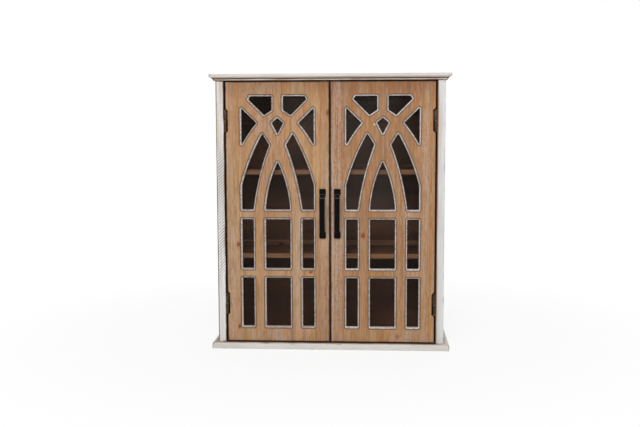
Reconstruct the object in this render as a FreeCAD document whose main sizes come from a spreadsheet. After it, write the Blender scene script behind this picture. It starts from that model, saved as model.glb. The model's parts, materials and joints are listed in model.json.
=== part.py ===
import FreeCAD, Part
import math
import operator
import os
from types import SimpleNamespace

import Sketcher

# Wall cabinet: a boarded case with a coved crown, two shelves and a pair of inset glazed doors,
# each door one panel pierced with intersecting tracery and hung on two lift-off hinges.
# Millimetres, +Z up. The origin is on the wall plane, at the middle of the underside.
# The front looks towards -Y, so a distance out from the wall is a negative Y.

# Driving dimensions
SIZES = {
    # lights of one door, from its middle outwards
    "centre_light_half": 31.55,
    "mullion_width": 30.05,
    "side_light_width": 29.95,
    "stile_width": 38.7,
    # lights of one door, from its foot upwards
    "bottom_rail": 37.1,
    "row_height": 125.9,
    "cross_rail": 23.7,
    "arch_height": 284.9,
    "top_rail": 35.8,
    # bevelled rim of each light
    "light_corner_radius": 1.3,
    "rim_bevel": 4.5,
    "door_edge_round": 1.0,
    # thickness of the door and what lies in its rear rebate
    "door_thickness": 20.0,
    "web_thickness": 13.0,
    "glass_thickness": 3.0,
    "glass_lap": 9.0,
    "glass_clearance": 0.5,
    "bead_width": 8.0,
    # gaps round the doors
    "door_side_gap": 4.0,
    "door_centre_gap": 3.0,
    "door_foot_gap": 2.5,
    "door_head_gap": 2.5,
    # case boards
    "case_depth": 195.0,
    "side_thickness": 20.0,
    "board_overhang": 14.0,
    "base_thickness": 15.0,
    "base_nose": 17.0,
    "base_round": 3.0,
    "crown_thickness": 16.0,
    "crown_nose": 14.0,
    "crown_lip": 7.0,
    "cove_quirk": 1.5,
    # back panel and hanging rail
    "back_thickness": 5.0,
    "rebate_width": 8.0,
    "back_clearance": 0.5,
    "rail_height": 40.0,
    "rail_thickness": 16.0,
    "wall_hole_radius": 3.0,
    "wall_hole_spacing": 400.0,
    # shelves and their pins
    "lower_bay": 213.0,
    "middle_bay": 202.0,
    "shelf_thickness": 12.0,
    "shelf_setback": 25.0,
    "shelf_clearance": 0.5,
    "pin_radius": 2.5,
    "pin_sink": 9.0,
    "pin_reach": 8.0,
    "pin_inset": 35.0,
    # lift-off hinges
    "hinge_inset": 97.0,
    "barrel_length": 56.0,
    "knuckle_radius": 3.5,
    "knuckle_clearance": 0.3,
    "knuckle_play": 0.1,
    "knuckle_cap": 1.5,
    "barrel_proud": 1.0,
    "hinge_pin_radius": 1.5,
    "pin_fit": 0.05,
    "washer_thickness": 1.0,
    "washer_inset": 0.2,
    "leaf_thickness": 1.2,
    "case_leaf_width": 19.0,
    "door_leaf_height": 46.0,
    "door_leaf_margin": 2.0,
    "notch_depth": 6.5,
    "notch_height": 64.0,
    # bar pulls
    "pull_length": 125.0,
    "pull_width": 12.0,
    "pull_thickness": 5.0,
    "pull_projection": 27.0,
    "pull_bend": 7.0,
    "pull_edge_round": 1.2,
    "foot_width": 15.5,
    "foot_length": 16.0,
    "foot_thickness": 5.0,
    "foot_corner": 3.0,
    "pull_inset": 17.0,
    "pull_height": 327.5,
    # magnetic catch under the crown and the strike on each door
    "catch_half": 30.0,
    "catch_depth": 20.0,
    "catch_height": 14.0,
    "magnet_inset": 8.0,
    "magnet_width": 14.0,
    "magnet_height": 8.0,
    "magnet_depth": 6.0,
    "magnet_proud": 0.5,
    "magnet_clearance": 0.1,
    "strike_gap": 0.3,
    "strike_thickness": 1.2,
    "strike_height": 12.0,
    # fasteners
    "screw_clearance": 0.05,
    "board_screw_radius": 2.0,
    "board_screw_head": 4.0,
    "board_screw_sink": 3.0,
    "board_screw_length": 45.0,
    "board_screw_inset": 45.0,
    "small_screw_radius": 1.5,
    "small_screw_head": 2.9,
    "hinge_screw_length": 13.0,
    "case_screw_spread": 36.0,
    "door_screw_spread": 28.0,
    "back_screw_sink": 1.6,
    "back_screw_length": 16.0,
    "back_screw_inset": 4.0,
    "back_screw_end": 85.0,
    "rail_screw_spacing": 200.0,
    "catch_screw_length": 24.0,
    "catch_screw_margin": 4.0,
    "strike_screw_length": 10.0,
    "pull_screw_radius": 1.9,
    "pull_screw_head": 4.0,
    "pull_screw_cap": 2.4,
    "pull_screw_grip": 4.0,
}

# The arched field of a door is drawn as shares: across, of the half width of the lights,
# and up, of the height above the spring line. Feet of the arches line up with the mullions.
LANCET_APEX = (0.0, 0.4300)
HAUNCH_TOP = (1.0, 0.2149)
HAUNCH_APEX = (0.4207, 0.6746)
HAUNCH_SHOULDER = (0.2262, 0.5746)
SPANDREL_HEAD = (1.0, 0.8993)
SPANDREL_TIP = (0.5738, 0.7649)
SPANDREL_FOOT = (1.0, 0.5651)
HEAD_INNER_TOP = (0.1514, 1.0)
HEAD_OUTER_TOP = (0.7526, 1.0)
HEAD_TIP = (0.7996, 0.9705)
HEAD_LOW = (0.3650, 0.8319)
HEAD_INNER_LOW = (0.1514, 0.8764)
KITE_TOP = (0.0, 0.8118)
KITE_SIDE = (0.1655, 0.7669)
KITE_LOW = (0.0, 0.6637)

# Rise of each arc as a share of its chord
LANCET_BOW = 0.0483
HAUNCH_OUTER_BOW = 0.0332
HAUNCH_INNER_BOW = 0.0315
SPANDREL_BOW = 0.0283
QUARTER_BOW = (math.sqrt(2.0) - 1.0) / 2.0

LEFT = -1
RIGHT = 1
SIDE_NAMES = {LEFT: "left", RIGHT: "right"}
ABOVE = 1
BELOW = -1
LEVEL_NAMES = {ABOVE: "upper", BELOW: "lower"}
UP = FreeCAD.Vector(0, 0, 1)
DOWN = FreeCAD.Vector(0, 0, -1)
TO_WALL = FreeCAD.Vector(0, 1, 0)
FROM_WALL = FreeCAD.Vector(0, -1, 0)
OPERATIONS = {"+": operator.add, "-": operator.sub, "*": operator.mul, "/": operator.truediv}

doc = FreeCAD.newDocument("wall_cabinet")
pieces = {}


class Size:
    """A dimension that carries its value and the sheet formula that drives it."""

    def __init__(self, value, formula):
        self.value = value
        self.formula = formula

    def __add__(self, other):
        return combine(self, "+", other)

    def __radd__(self, other):
        return combine(other, "+", self)

    def __sub__(self, other):
        return combine(self, "-", other)

    def __rsub__(self, other):
        return combine(other, "-", self)

    def __mul__(self, other):
        return combine(self, "*", other)

    def __rmul__(self, other):
        return combine(other, "*", self)

    def __truediv__(self, other):
        return combine(self, "/", other)

    def __neg__(self):
        return combine(0, "-", self)

    def root(self):
        """Square root, as the sheet writes it."""
        return Size(math.sqrt(self.value), f"sqrt({self.formula})")


def as_size(number):
    """A plain number as a size with no sheet cell behind it."""
    if isinstance(number, Size):
        return number
    return Size(float(number), f"({number})")


def combine(left, sign, right):
    """Joins two sizes with an arithmetic sign, in value and in formula."""
    first = as_size(left)
    second = as_size(right)
    value = OPERATIONS[sign](first.value, second.value)
    return Size(value, f"({first.formula} {sign} {second.formula})")


def make_sheet():
    """Writes the driving dimensions to the document's sheet and returns them as sizes."""
    sheet = doc.addObject("Spreadsheet::Sheet", "sizes")
    for row, (name, value) in enumerate(SIZES.items(), start=1):
        sheet.set(f"A{row}", name)
        sheet.set(f"B{row}", str(value))
        sheet.setAlias(f"B{row}", name)
    doc.recompute()
    return SimpleNamespace(**{name: Size(value, f"sizes.{name}") for name, value in SIZES.items()})


def bind(item, path, size):
    """Ties one property of an object to the sheet."""
    item.setExpression(path, as_size(size).formula)


def place(item, across, out, up, direction=UP):
    """Sets an object at a distance across, out from the wall and up, with its axis along a direction."""
    base = [as_size(across), -as_size(out), as_size(up)]
    vector = FreeCAD.Vector(*[size.value for size in base])
    item.Placement = FreeCAD.Placement(vector, FreeCAD.Rotation(UP, direction))
    for letter, size in zip("xyz", base):
        bind(item, f"Placement.Base.{letter}", size)


def block(name, across, out, up, side=RIGHT):
    """A box between pairs of distances; on the left side the pair across is mirrored."""
    near, far = across
    start = near if side == RIGHT else -as_size(far)
    item = doc.addObject("Part::Box", name)
    bind(item, "Length", far - near)
    bind(item, "Width", out[1] - out[0])
    bind(item, "Height", up[1] - up[0])
    place(item, start, out[1], up[0])
    return item


def rod(name, start, direction, radius, length):
    """A cylinder from a start point (across, out, up) along a direction."""
    item = doc.addObject("Part::Cylinder", name)
    bind(item, "Radius", radius)
    bind(item, "Height", length)
    place(item, *start, direction)
    return item


def countersink(name, start, direction, mouth, throat, depth):
    """A cone that narrows from its mouth at the start point."""
    item = doc.addObject("Part::Cone", name)
    bind(item, "Radius1", mouth)
    bind(item, "Radius2", throat)
    bind(item, "Height", depth)
    place(item, *start, direction)
    return item


def fuse(name, items):
    """Joins overlapping solids into one."""
    item = doc.addObject("Part::MultiFuse", name)
    item.Shapes = items
    return item


def group(name, items):
    """Keeps separate solids together as one set."""
    item = doc.addObject("Part::Compound", name)
    item.Links = items
    return item


def drill(name, base, tools):
    """Cuts a set of tools out of a base."""
    item = doc.addObject("Part::Cut", name)
    item.Base = base
    item.Tool = tools[0] if len(tools) == 1 else fuse(f"{name}_tools", tools)
    return item


def keep(label, item):
    """Registers a finished sub-part under its label."""
    item.Label = label
    pieces[label] = item
    return item


class Screw:
    """A countersunk screw: where its head lies flush, which way it points, and its sizes."""

    def __init__(self, name, start, direction, radius, head, sink, length):
        self.name = name
        self.start = start
        self.direction = direction
        self.radius = radius
        self.head = head
        self.sink = sink
        self.length = length

    def solid(self):
        """The screw itself."""
        return self.shape("screw", 0)

    def hole(self):
        """The hole that the screw passes through, with clearance all round."""
        return self.shape("hole", dim.screw_clearance)

    def shape(self, kind, clearance):
        """Head cone and shank, grown by a clearance."""
        name = f"{self.name}_{kind}"
        mouth = self.head + clearance
        throat = self.radius + clearance
        head = countersink(f"{name}_head", self.start, self.direction, mouth, throat, self.sink)
        shank = rod(f"{name}_shank", self.start, self.direction, throat, self.length + clearance)
        return fuse(name, [head, shank])


def plane_of(body, role):
    """One of a body's own origin planes."""
    return next(item for item in body.Origin.OriginFeatures if item.Role == role)


def new_sketch(body, name, role):
    """An empty sketch on one of the body's origin planes."""
    sketch = body.newObject("Sketcher::SketchObject", name)
    sketch.AttachmentSupport = [(plane_of(body, role), "")]
    sketch.MapMode = "FlatFace"
    return sketch


def draw(sketch, corners, bows=None):
    """Draws a closed outline through corners that are pinned to the sheet.

    bows gives the arcs: the number of the edge that leaves a corner, and its rise as a share of
    its chord, positive where the arc swells to the left of the way the outline is drawn.
    """
    bows = bows or {}
    corners = [(as_size(across), as_size(up)) for across, up in corners]
    points = [FreeCAD.Vector(across.value, up.value, 0) for across, up in corners]
    first = sketch.GeometryCount
    edges = []
    ends = []
    radii = {}
    for number, start in enumerate(points):
        after = (number + 1) % len(points)
        finish = points[after]
        bow = bows.get(number)
        if bow is None:
            edges.append(Part.LineSegment(start, finish))
            ends.append((1, 2))
            continue
        chord = finish - start
        left = FreeCAD.Vector(-chord.y, chord.x, 0)
        crest = (start + finish) * 0.5 + left * bow
        edges.append(Part.Arc(start, crest, finish))
        ends.append((2, 1) if bow > 0 else (1, 2))
        run = corners[after][0] - corners[number][0]
        rise = corners[after][1] - corners[number][1]
        length = (run * run + rise * rise).root()
        radii[number] = length * (1.0 / (8.0 * abs(bow)) + abs(bow) / 2.0)
    sketch.addGeometry(edges, False)
    constraints = []
    formulas = []
    for number, (across, up) in enumerate(corners):
        edge = first + number
        before = first + (number - 1) % len(corners)
        start = ends[number][0]
        constraints.append(Sketcher.Constraint("Coincident", before, ends[number - 1][1], edge, start))
        formulas.append(None)
        for kind, axis, size in (("DistanceX", -2, across), ("DistanceY", -1, up)):
            if size.value == 0.0:
                constraints.append(Sketcher.Constraint("PointOnObject", edge, start, axis))
                formulas.append(None)
            else:
                constraints.append(Sketcher.Constraint(kind, -1, 1, edge, start, size.value))
                formulas.append(size.formula)
    for number, radius in radii.items():
        constraints.append(Sketcher.Constraint("Radius", first + number, radius.value))
        formulas.append(radius.formula)
    offset = sketch.ConstraintCount
    sketch.addConstraint(constraints)
    for number, formula in enumerate(formulas):
        if formula:
            sketch.setExpression(f"Constraints[{offset + number}]", formula)


def rectangle(sketch, left, right, low, high):
    """Draws an upright rectangle."""
    draw(sketch, [(left, low), (right, low), (right, high), (left, high)])


def pad(body, name, sketch, length):
    """Raises a sketch by a length."""
    feature = body.newObject("PartDesign::Pad", name)
    feature.Profile = sketch
    bind(feature, "Length", length)
    return feature


def pocket(body, name, sketch, length=None, backwards=False, middle=False):
    """Cuts a sketch to a depth, or right through where no depth is given, and checks that it cuts."""
    before = body.Shape.Volume
    feature = body.newObject("PartDesign::Pocket", name)
    feature.Profile = sketch
    feature.Reversed = backwards
    feature.Midplane = middle
    if length is None:
        feature.Type = "ThroughAll"
    else:
        bind(feature, "Length", length)
    doc.recompute()
    if feature.Shape.isNull() or feature.Shape.Volume >= before:
        raise RuntimeError(f"{name} cuts nothing")
    return feature


def soften(body, name, kind, base, chosen, size):
    """Fillets or chamfers the edges of a feature that a test picks out."""
    property_name = {"Fillet": "Radius", "Chamfer": "Size"}[kind]
    names = [f"Edge{number}" for number, edge in enumerate(base.Shape.Edges, start=1) if chosen(edge)]
    if not names:
        raise RuntimeError(f"{name} finds no edge")
    feature = body.newObject(f"PartDesign::{kind}", name)
    feature.Base = (base, names)
    bind(feature, property_name, size)
    doc.recompute()
    return feature


def runs_along(edge, axis):
    """True for a straight edge that is parallel to one axis of its body."""
    box = edge.BoundBox
    spans = {"x": box.XLength, "y": box.YLength, "z": box.ZLength}
    longest = spans.pop(axis)
    return longest > EDGE_SLACK and max(spans.values()) < EDGE_SLACK


def near(value, size):
    """True where a coordinate lies on a size."""
    return abs(value - as_size(size).value) < EDGE_SLACK


EDGE_SLACK = 0.01
dim = make_sheet()

# Sizes worked out from the sheet: the door from its lights, the case from its doors
window_half = dim.centre_light_half + dim.mullion_width + dim.side_light_width
mullion_outer = dim.centre_light_half + dim.mullion_width
door_width = 2 * (window_half + dim.stile_width)
lower_row = dim.bottom_rail
upper_row = lower_row + dim.row_height + dim.cross_rail
spring_line = upper_row + dim.row_height + dim.cross_rail
window_head = spring_line + dim.arch_height
door_height = window_head + dim.top_rail
rebate_depth = dim.door_thickness - dim.web_thickness
rebate_half = window_half + dim.glass_lap
rebate_foot = lower_row - dim.glass_lap
rebate_head = window_head + dim.glass_lap

inner_half = dim.door_centre_gap / 2 + door_width + dim.door_side_gap
case_half = inner_half + dim.side_thickness
board_half = case_half + dim.board_overhang
floor_level = dim.base_thickness
ceiling_level = floor_level + dim.door_foot_gap + door_height + dim.door_head_gap
crown_level = ceiling_level + dim.crown_thickness
door_foot = floor_level + dim.door_foot_gap
door_head = door_foot + door_height
door_middle = dim.door_centre_gap / 2 + door_width / 2
door_edge = dim.door_centre_gap / 2 + door_width
door_rear = dim.case_depth - dim.door_thickness
lower_shelf_level = floor_level + dim.lower_bay
upper_shelf_level = lower_shelf_level + dim.shelf_thickness + dim.middle_bay
shelf_front = dim.case_depth - dim.shelf_setback
shelf_back = dim.back_thickness + dim.shelf_clearance
rail_front = dim.back_thickness + dim.rail_thickness
rail_middle = ceiling_level - dim.rail_height / 2

barrel_across = inner_half - dim.knuckle_radius - dim.knuckle_clearance
barrel_out = dim.case_depth + dim.barrel_proud
leaf_front = barrel_out - dim.knuckle_radius
notch_floor = door_edge - dim.notch_depth
hinge_levels = {ABOVE: door_head - dim.hinge_inset, BELOW: door_foot + dim.hinge_inset}
strike_face = door_rear - dim.strike_thickness
strike_level = ceiling_level - dim.catch_height / 2
magnet_middle = dim.magnet_inset + dim.magnet_width / 2
pull_middle = dim.door_centre_gap / 2 + dim.pull_inset
pull_level = door_foot + dim.pull_height
pull_screw_offset = (dim.pull_length - dim.foot_length) / 2


def board_screws(name, level, direction):
    """Four screws that hold a crown or base board to the ends of the sides."""
    screws = []
    for side in (LEFT, RIGHT):
        for place_name, out in (("rear", dim.board_screw_inset), ("front", dim.case_depth - dim.board_screw_inset)):
            start = (side * (inner_half + dim.side_thickness / 2), out, level)
            screws.append(Screw(f"{name}_{SIDE_NAMES[side]}_{place_name}", start, direction,
                                dim.board_screw_radius, dim.board_screw_head,
                                dim.board_screw_sink, dim.board_screw_length))
    return screws


def back_screws_on(side):
    """Three screws that hold one edge of the back panel in the rebate of a side."""
    across = side * (inner_half + dim.back_screw_inset)
    levels = {"low": floor_level + dim.back_screw_end,
              "middle": (floor_level + ceiling_level) / 2,
              "high": ceiling_level - dim.back_screw_end}
    return [Screw(f"back_{SIDE_NAMES[side]}_{name}", (across, 0, level), FROM_WALL,
                  dim.small_screw_radius, dim.small_screw_head, dim.back_screw_sink, dim.back_screw_length)
            for name, level in levels.items()]


def rail_screws():
    """Two screws that hold the hanging rail to the back panel."""
    return [Screw(f"rail_{SIDE_NAMES[side]}", (side * dim.rail_screw_spacing / 2, 0, rail_middle), FROM_WALL,
                  dim.small_screw_radius, dim.small_screw_head, dim.back_screw_sink, dim.back_screw_length)
            for side in (LEFT, RIGHT)]


def case_leaf_screws(side, level):
    """Two screws of a hinge's leaf on the case, driven into the side."""
    out = leaf_front - dim.case_leaf_width / 2
    across = side * (inner_half - dim.leaf_thickness)
    return [Screw(f"{SIDE_NAMES[side]}_{LEVEL_NAMES[level]}_case_{LEVEL_NAMES[step]}",
                  (across, out, hinge_levels[level] + step * dim.case_screw_spread / 2),
                  FreeCAD.Vector(side, 0, 0), dim.small_screw_radius, dim.small_screw_head,
                  dim.leaf_thickness, dim.hinge_screw_length)
            for step in (ABOVE, BELOW)]


def door_leaf_screws(side, level):
    """Two screws of a hinge's leaf on the door, driven into the floor of the notch."""
    out = dim.case_depth - dim.door_thickness / 2
    across = side * (notch_floor + dim.leaf_thickness)
    return [Screw(f"{SIDE_NAMES[side]}_{LEVEL_NAMES[level]}_door_{LEVEL_NAMES[step]}",
                  (across, out, hinge_levels[level] + step * dim.door_screw_spread / 2),
                  FreeCAD.Vector(-side, 0, 0), dim.small_screw_radius, dim.small_screw_head,
                  dim.leaf_thickness, dim.hinge_screw_length)
            for step in (ABOVE, BELOW)]


def strike_screw(side):
    """The screw in the middle of a strike plate."""
    return Screw(f"{SIDE_NAMES[side]}_strike", (side * magnet_middle, strike_face, strike_level), FROM_WALL,
                 dim.small_screw_radius, dim.small_screw_head, dim.strike_thickness, dim.strike_screw_length)


def catch_screws():
    """Two screws that hold the catch up under the crown."""
    across = dim.catch_half - dim.catch_screw_margin
    out = strike_face - dim.strike_gap - dim.magnet_proud - dim.catch_depth / 2
    return [Screw(f"catch_{SIDE_NAMES[side]}", (side * across, out, ceiling_level - dim.catch_height), UP,
                  dim.small_screw_radius, dim.small_screw_head, dim.back_screw_sink, dim.catch_screw_length)
            for side in (LEFT, RIGHT)]


def shelf_pin_starts(side):
    """Where the four pins of one side begin inside the board: across, out and up."""
    across = side * (inner_half + dim.pin_sink)
    outs = (shelf_back + dim.pin_inset, shelf_front - dim.pin_inset)
    levels = (lower_shelf_level, upper_shelf_level)
    return [(across, out, level - dim.pin_radius) for level in levels for out in outs]


def wall_holes(name, reach):
    """The two holes through which the cabinet is screwed to a wall."""
    return [rod(f"{name}_hole_{SIDE_NAMES[side]}", (side * dim.wall_hole_spacing / 2, 0, rail_middle), FROM_WALL,
                dim.wall_hole_radius, reach)
            for side in (LEFT, RIGHT)]


def make_base(screws):
    """Base board with eased arrises along its front and ends."""
    body = doc.addObject("PartDesign::Body", "base_stock")
    sketch = new_sketch(body, "base_plan", "XY_Plane")
    rectangle(sketch, -board_half, board_half, -(dim.case_depth + dim.base_nose), 0)
    board = pad(body, "base_board_pad", sketch, dim.base_thickness)
    doc.recompute()
    front = -(dim.case_depth + dim.base_nose)

    def shows(edge):
        """Top arrises of the front and the two ends."""
        centre = edge.CenterOfMass
        at_front = runs_along(edge, "x") and near(centre.y, front)
        at_end = runs_along(edge, "y")
        return near(centre.z, dim.base_thickness) and (at_front or at_end)

    soften(body, "base_arris", "Fillet", board, shows, dim.base_round)
    keep("base_board", drill("base_drilled", body, [screw.hole() for screw in screws]))


def make_crown(screws, catch):
    """Crown board with a cove under its lip, run along the front and both ends and mitred."""
    cove = dim.crown_thickness - dim.crown_lip
    body = doc.addObject("PartDesign::Body", "crown_stock")
    place(body, 0, 0, ceiling_level)
    front = -(dim.case_depth + dim.crown_nose)
    plan = new_sketch(body, "crown_plan", "XY_Plane")
    rectangle(plan, -board_half, board_half, front, 0)
    pad(body, "crown_board_pad", plan, dim.crown_thickness)
    doc.recompute()

    def cove_outline(sketch, edge, inward):
        """Draws what the cutter takes off, from the outer edge inwards: quirk, hollow and flat."""
        flat = edge + inward * (dim.cove_quirk + cove)
        quirk = edge + inward * dim.cove_quirk
        corners = [(edge, 0), (flat, 0), (quirk, cove), (edge, cove)]
        draw(sketch, corners, {1: -inward * QUARTER_BOW})

    across = new_sketch(body, "crown_front_section", "YZ_Plane")
    cove_outline(across, front, 1)
    pocket(body, "crown_front_cove", across, 2 * board_half, middle=True)
    ends = new_sketch(body, "crown_end_section", "XZ_Plane")
    cove_outline(ends, -board_half, 1)
    cove_outline(ends, board_half, -1)
    pocket(body, "crown_end_coves", ends, backwards=True)
    holes = [screw.hole() for screw in screws + catch]
    keep("crown_board", drill("crown_drilled", body, holes))


def make_side(side, screws):
    """Side board with the rebate for the back panel and the holes of everything fixed to it."""
    name = f"side_panel_{SIDE_NAMES[side]}"
    board = block(f"{name}_board", (inner_half, case_half), (as_size(0), dim.case_depth),
                  (floor_level, ceiling_level), side)
    rebate = block(f"{name}_rebate", (inner_half, inner_half + dim.rebate_width),
                   (as_size(0), dim.back_thickness), (floor_level, ceiling_level), side)
    tools = [rebate] + [screw.hole() for screw in screws]
    for number, start in enumerate(shelf_pin_starts(side)):
        tools.append(rod(f"{name}_pin_hole_{number}", start, FreeCAD.Vector(-side, 0, 0),
                         dim.pin_radius + dim.screw_clearance, dim.pin_sink))
    keep(name, drill(f"{name}_drilled", board, tools))


def make_back(screws):
    """Thin back panel that lies in the rebates of the sides."""
    half = inner_half + dim.rebate_width - dim.back_clearance
    panel = block("back_sheet", (-half, half), (as_size(0), dim.back_thickness), (floor_level, ceiling_level))
    tools = [screw.hole() for screw in screws] + wall_holes("back", dim.back_thickness)
    keep("back_panel", drill("back_drilled", panel, tools))


def make_rail(screws):
    """Hanging rail under the crown, in front of the back panel."""
    rail = block("rail_batten", (-inner_half, inner_half), (dim.back_thickness, rail_front),
                 (ceiling_level - dim.rail_height, ceiling_level))
    tools = [screw.hole() for screw in screws] + wall_holes("rail", rail_front)
    keep("hanging_rail", drill("rail_drilled", rail, tools))


def make_shelf(name, level):
    """One shelf, lying on its pins."""
    half = inner_half - dim.shelf_clearance
    keep(name, block(f"{name}_board", (-half, half), (shelf_back, shelf_front),
                     (level, level + dim.shelf_thickness)))


def make_shelf_pins():
    """Eight round pins, four to a side."""
    pins = []
    for side in (LEFT, RIGHT):
        for number, start in enumerate(shelf_pin_starts(side)):
            pins.append(rod(f"pin_{SIDE_NAMES[side]}_{number}", start, FreeCAD.Vector(-side, 0, 0),
                            dim.pin_radius, dim.pin_sink + dim.pin_reach))
    keep("shelf_pins", group("shelf_pin_set", pins))


def make_catch(screws):
    """Double magnetic catch: a housing with a socket and a magnet for each door."""
    magnet_face = strike_face - dim.strike_gap
    front = magnet_face - dim.magnet_proud
    housing = block("catch_block", (-dim.catch_half, dim.catch_half), (front - dim.catch_depth, front),
                    (ceiling_level - dim.catch_height, ceiling_level))
    sockets = []
    magnets = []
    for side in (LEFT, RIGHT):
        across = (dim.magnet_inset, dim.magnet_inset + dim.magnet_width)
        up = (strike_level - dim.magnet_height / 2, strike_level + dim.magnet_height / 2)
        name = f"catch_{SIDE_NAMES[side]}"
        magnets.append(block(f"{name}_magnet", across, (front - dim.magnet_depth, magnet_face), up, side))
        wide = (across[0] - dim.magnet_clearance, across[1] + dim.magnet_clearance)
        tall = (up[0] - dim.magnet_clearance, up[1] + dim.magnet_clearance)
        sockets.append(block(f"{name}_socket", wide, (front - dim.magnet_depth, front), tall, side))
    keep("catch_housing", drill("catch_drilled", housing, sockets + [screw.hole() for screw in screws]))
    keep("catch_magnets", group("catch_magnet_set", magnets))


def make_hinge(side, level):
    """Lift-off hinge: a leaf with the lower knuckle on the case, and one with the upper on the door."""
    name = f"{SIDE_NAMES[side]}_{LEVEL_NAMES[level]}"
    middle = hinge_levels[level]
    foot = middle - dim.barrel_length / 2
    head = middle + dim.barrel_length / 2
    seam_low = middle - dim.washer_thickness / 2
    seam_high = middle + dim.washer_thickness / 2 + dim.knuckle_play
    axis = (side * barrel_across, barrel_out)
    bore_radius = dim.hinge_pin_radius + dim.pin_fit

    low_knuckle = rod(f"{name}_low_knuckle", (*axis, foot), UP, dim.knuckle_radius, seam_low - foot)
    leaf_across = (inner_half - dim.leaf_thickness, inner_half)
    plate = block(f"{name}_case_plate", leaf_across, (leaf_front - dim.case_leaf_width, leaf_front),
                  (foot, head), side)
    tongue = block(f"{name}_case_tongue", leaf_across, (leaf_front, barrel_out), (foot, seam_low), side)
    low_bore = rod(f"{name}_low_bore", (*axis, foot), UP, bore_radius, seam_low - foot)
    case_leaf = fuse(f"{name}_case_stock", [low_knuckle, plate, tongue])
    holes = [screw.hole() for screw in case_leaf_screws(side, level)]
    keep(f"{name}_case_leaf", drill(f"{name}_case_drilled", case_leaf, [low_bore] + holes))

    high_knuckle = rod(f"{name}_high_knuckle", (*axis, seam_high), UP, dim.knuckle_radius, head - seam_high)
    leaf_head = middle + dim.door_leaf_height / 2
    leaf_foot = middle - dim.door_leaf_height / 2
    crank_out = leaf_front + dim.leaf_thickness
    door_plate = block(f"{name}_door_plate", (notch_floor, notch_floor + dim.leaf_thickness),
                       (door_rear + dim.door_leaf_margin, crank_out), (leaf_foot, leaf_head), side)
    crank = block(f"{name}_door_crank", (notch_floor, barrel_across), (leaf_front, crank_out),
                  (seam_high, leaf_head), side)
    high_bore = rod(f"{name}_high_bore", (*axis, seam_high), UP, bore_radius,
                    head - dim.knuckle_cap - seam_high)
    door_leaf = fuse(f"{name}_door_stock", [high_knuckle, door_plate, crank])
    holes = [screw.hole() for screw in door_leaf_screws(side, level)]
    keep(f"{name}_door_leaf", drill(f"{name}_door_drilled", door_leaf, [high_bore] + holes))

    pin_head = head - dim.knuckle_cap - dim.knuckle_clearance
    keep(f"{name}_hinge_pin", rod(f"{name}_pin_rod", (*axis, foot), UP, dim.hinge_pin_radius, pin_head - foot))
    disc = rod(f"{name}_washer_disc", (*axis, seam_low), UP, dim.knuckle_radius - dim.washer_inset,
               dim.washer_thickness)
    eye = rod(f"{name}_washer_eye", (*axis, seam_low), UP, bore_radius, dim.washer_thickness)
    return drill(f"{name}_washer", disc, [eye])


def field(share):
    """A point of the arched field: across from the middle of the door, up from its foot."""
    return (share[0] * window_half, spring_line + share[1] * dim.arch_height)


def draw_lights(sketch):
    """Draws the openings of a door: two rows of upright lights and the arched field above them."""
    for low in (lower_row, upper_row):
        rectangle(sketch, -dim.centre_light_half, dim.centre_light_half, low, low + dim.row_height)
    apex = field(LANCET_APEX)
    draw(sketch, [(-dim.centre_light_half, spring_line), (dim.centre_light_half, spring_line), apex],
         {1: -LANCET_BOW, 2: -LANCET_BOW})
    kite_side = field(KITE_SIDE)
    draw(sketch, [field(KITE_LOW), kite_side, field(KITE_TOP), (-kite_side[0], kite_side[1])])
    for side in (LEFT, RIGHT):

        def handed(points):
            """Mirrors a list of points for the left half of the door."""
            return [(side * across, up) for across, up in points]

        for low in (lower_row, upper_row):
            high = low + dim.row_height
            draw(sketch, handed([(mullion_outer, low), (window_half, low),
                                 (window_half, high), (mullion_outer, high)]))
        draw(sketch, handed([(mullion_outer, spring_line), (window_half, spring_line), field(HAUNCH_TOP),
                             field(HAUNCH_APEX), field(HAUNCH_SHOULDER)]),
             {2: -side * HAUNCH_OUTER_BOW, 4: side * HAUNCH_INNER_BOW})
        draw(sketch, handed([field(SPANDREL_FOOT), field(SPANDREL_HEAD), field(SPANDREL_TIP)]),
             {2: side * SPANDREL_BOW})
        draw(sketch, handed([field(HEAD_INNER_LOW), field(HEAD_LOW), field(HEAD_TIP),
                             field(HEAD_OUTER_TOP), field(HEAD_INNER_TOP)]))


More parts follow.
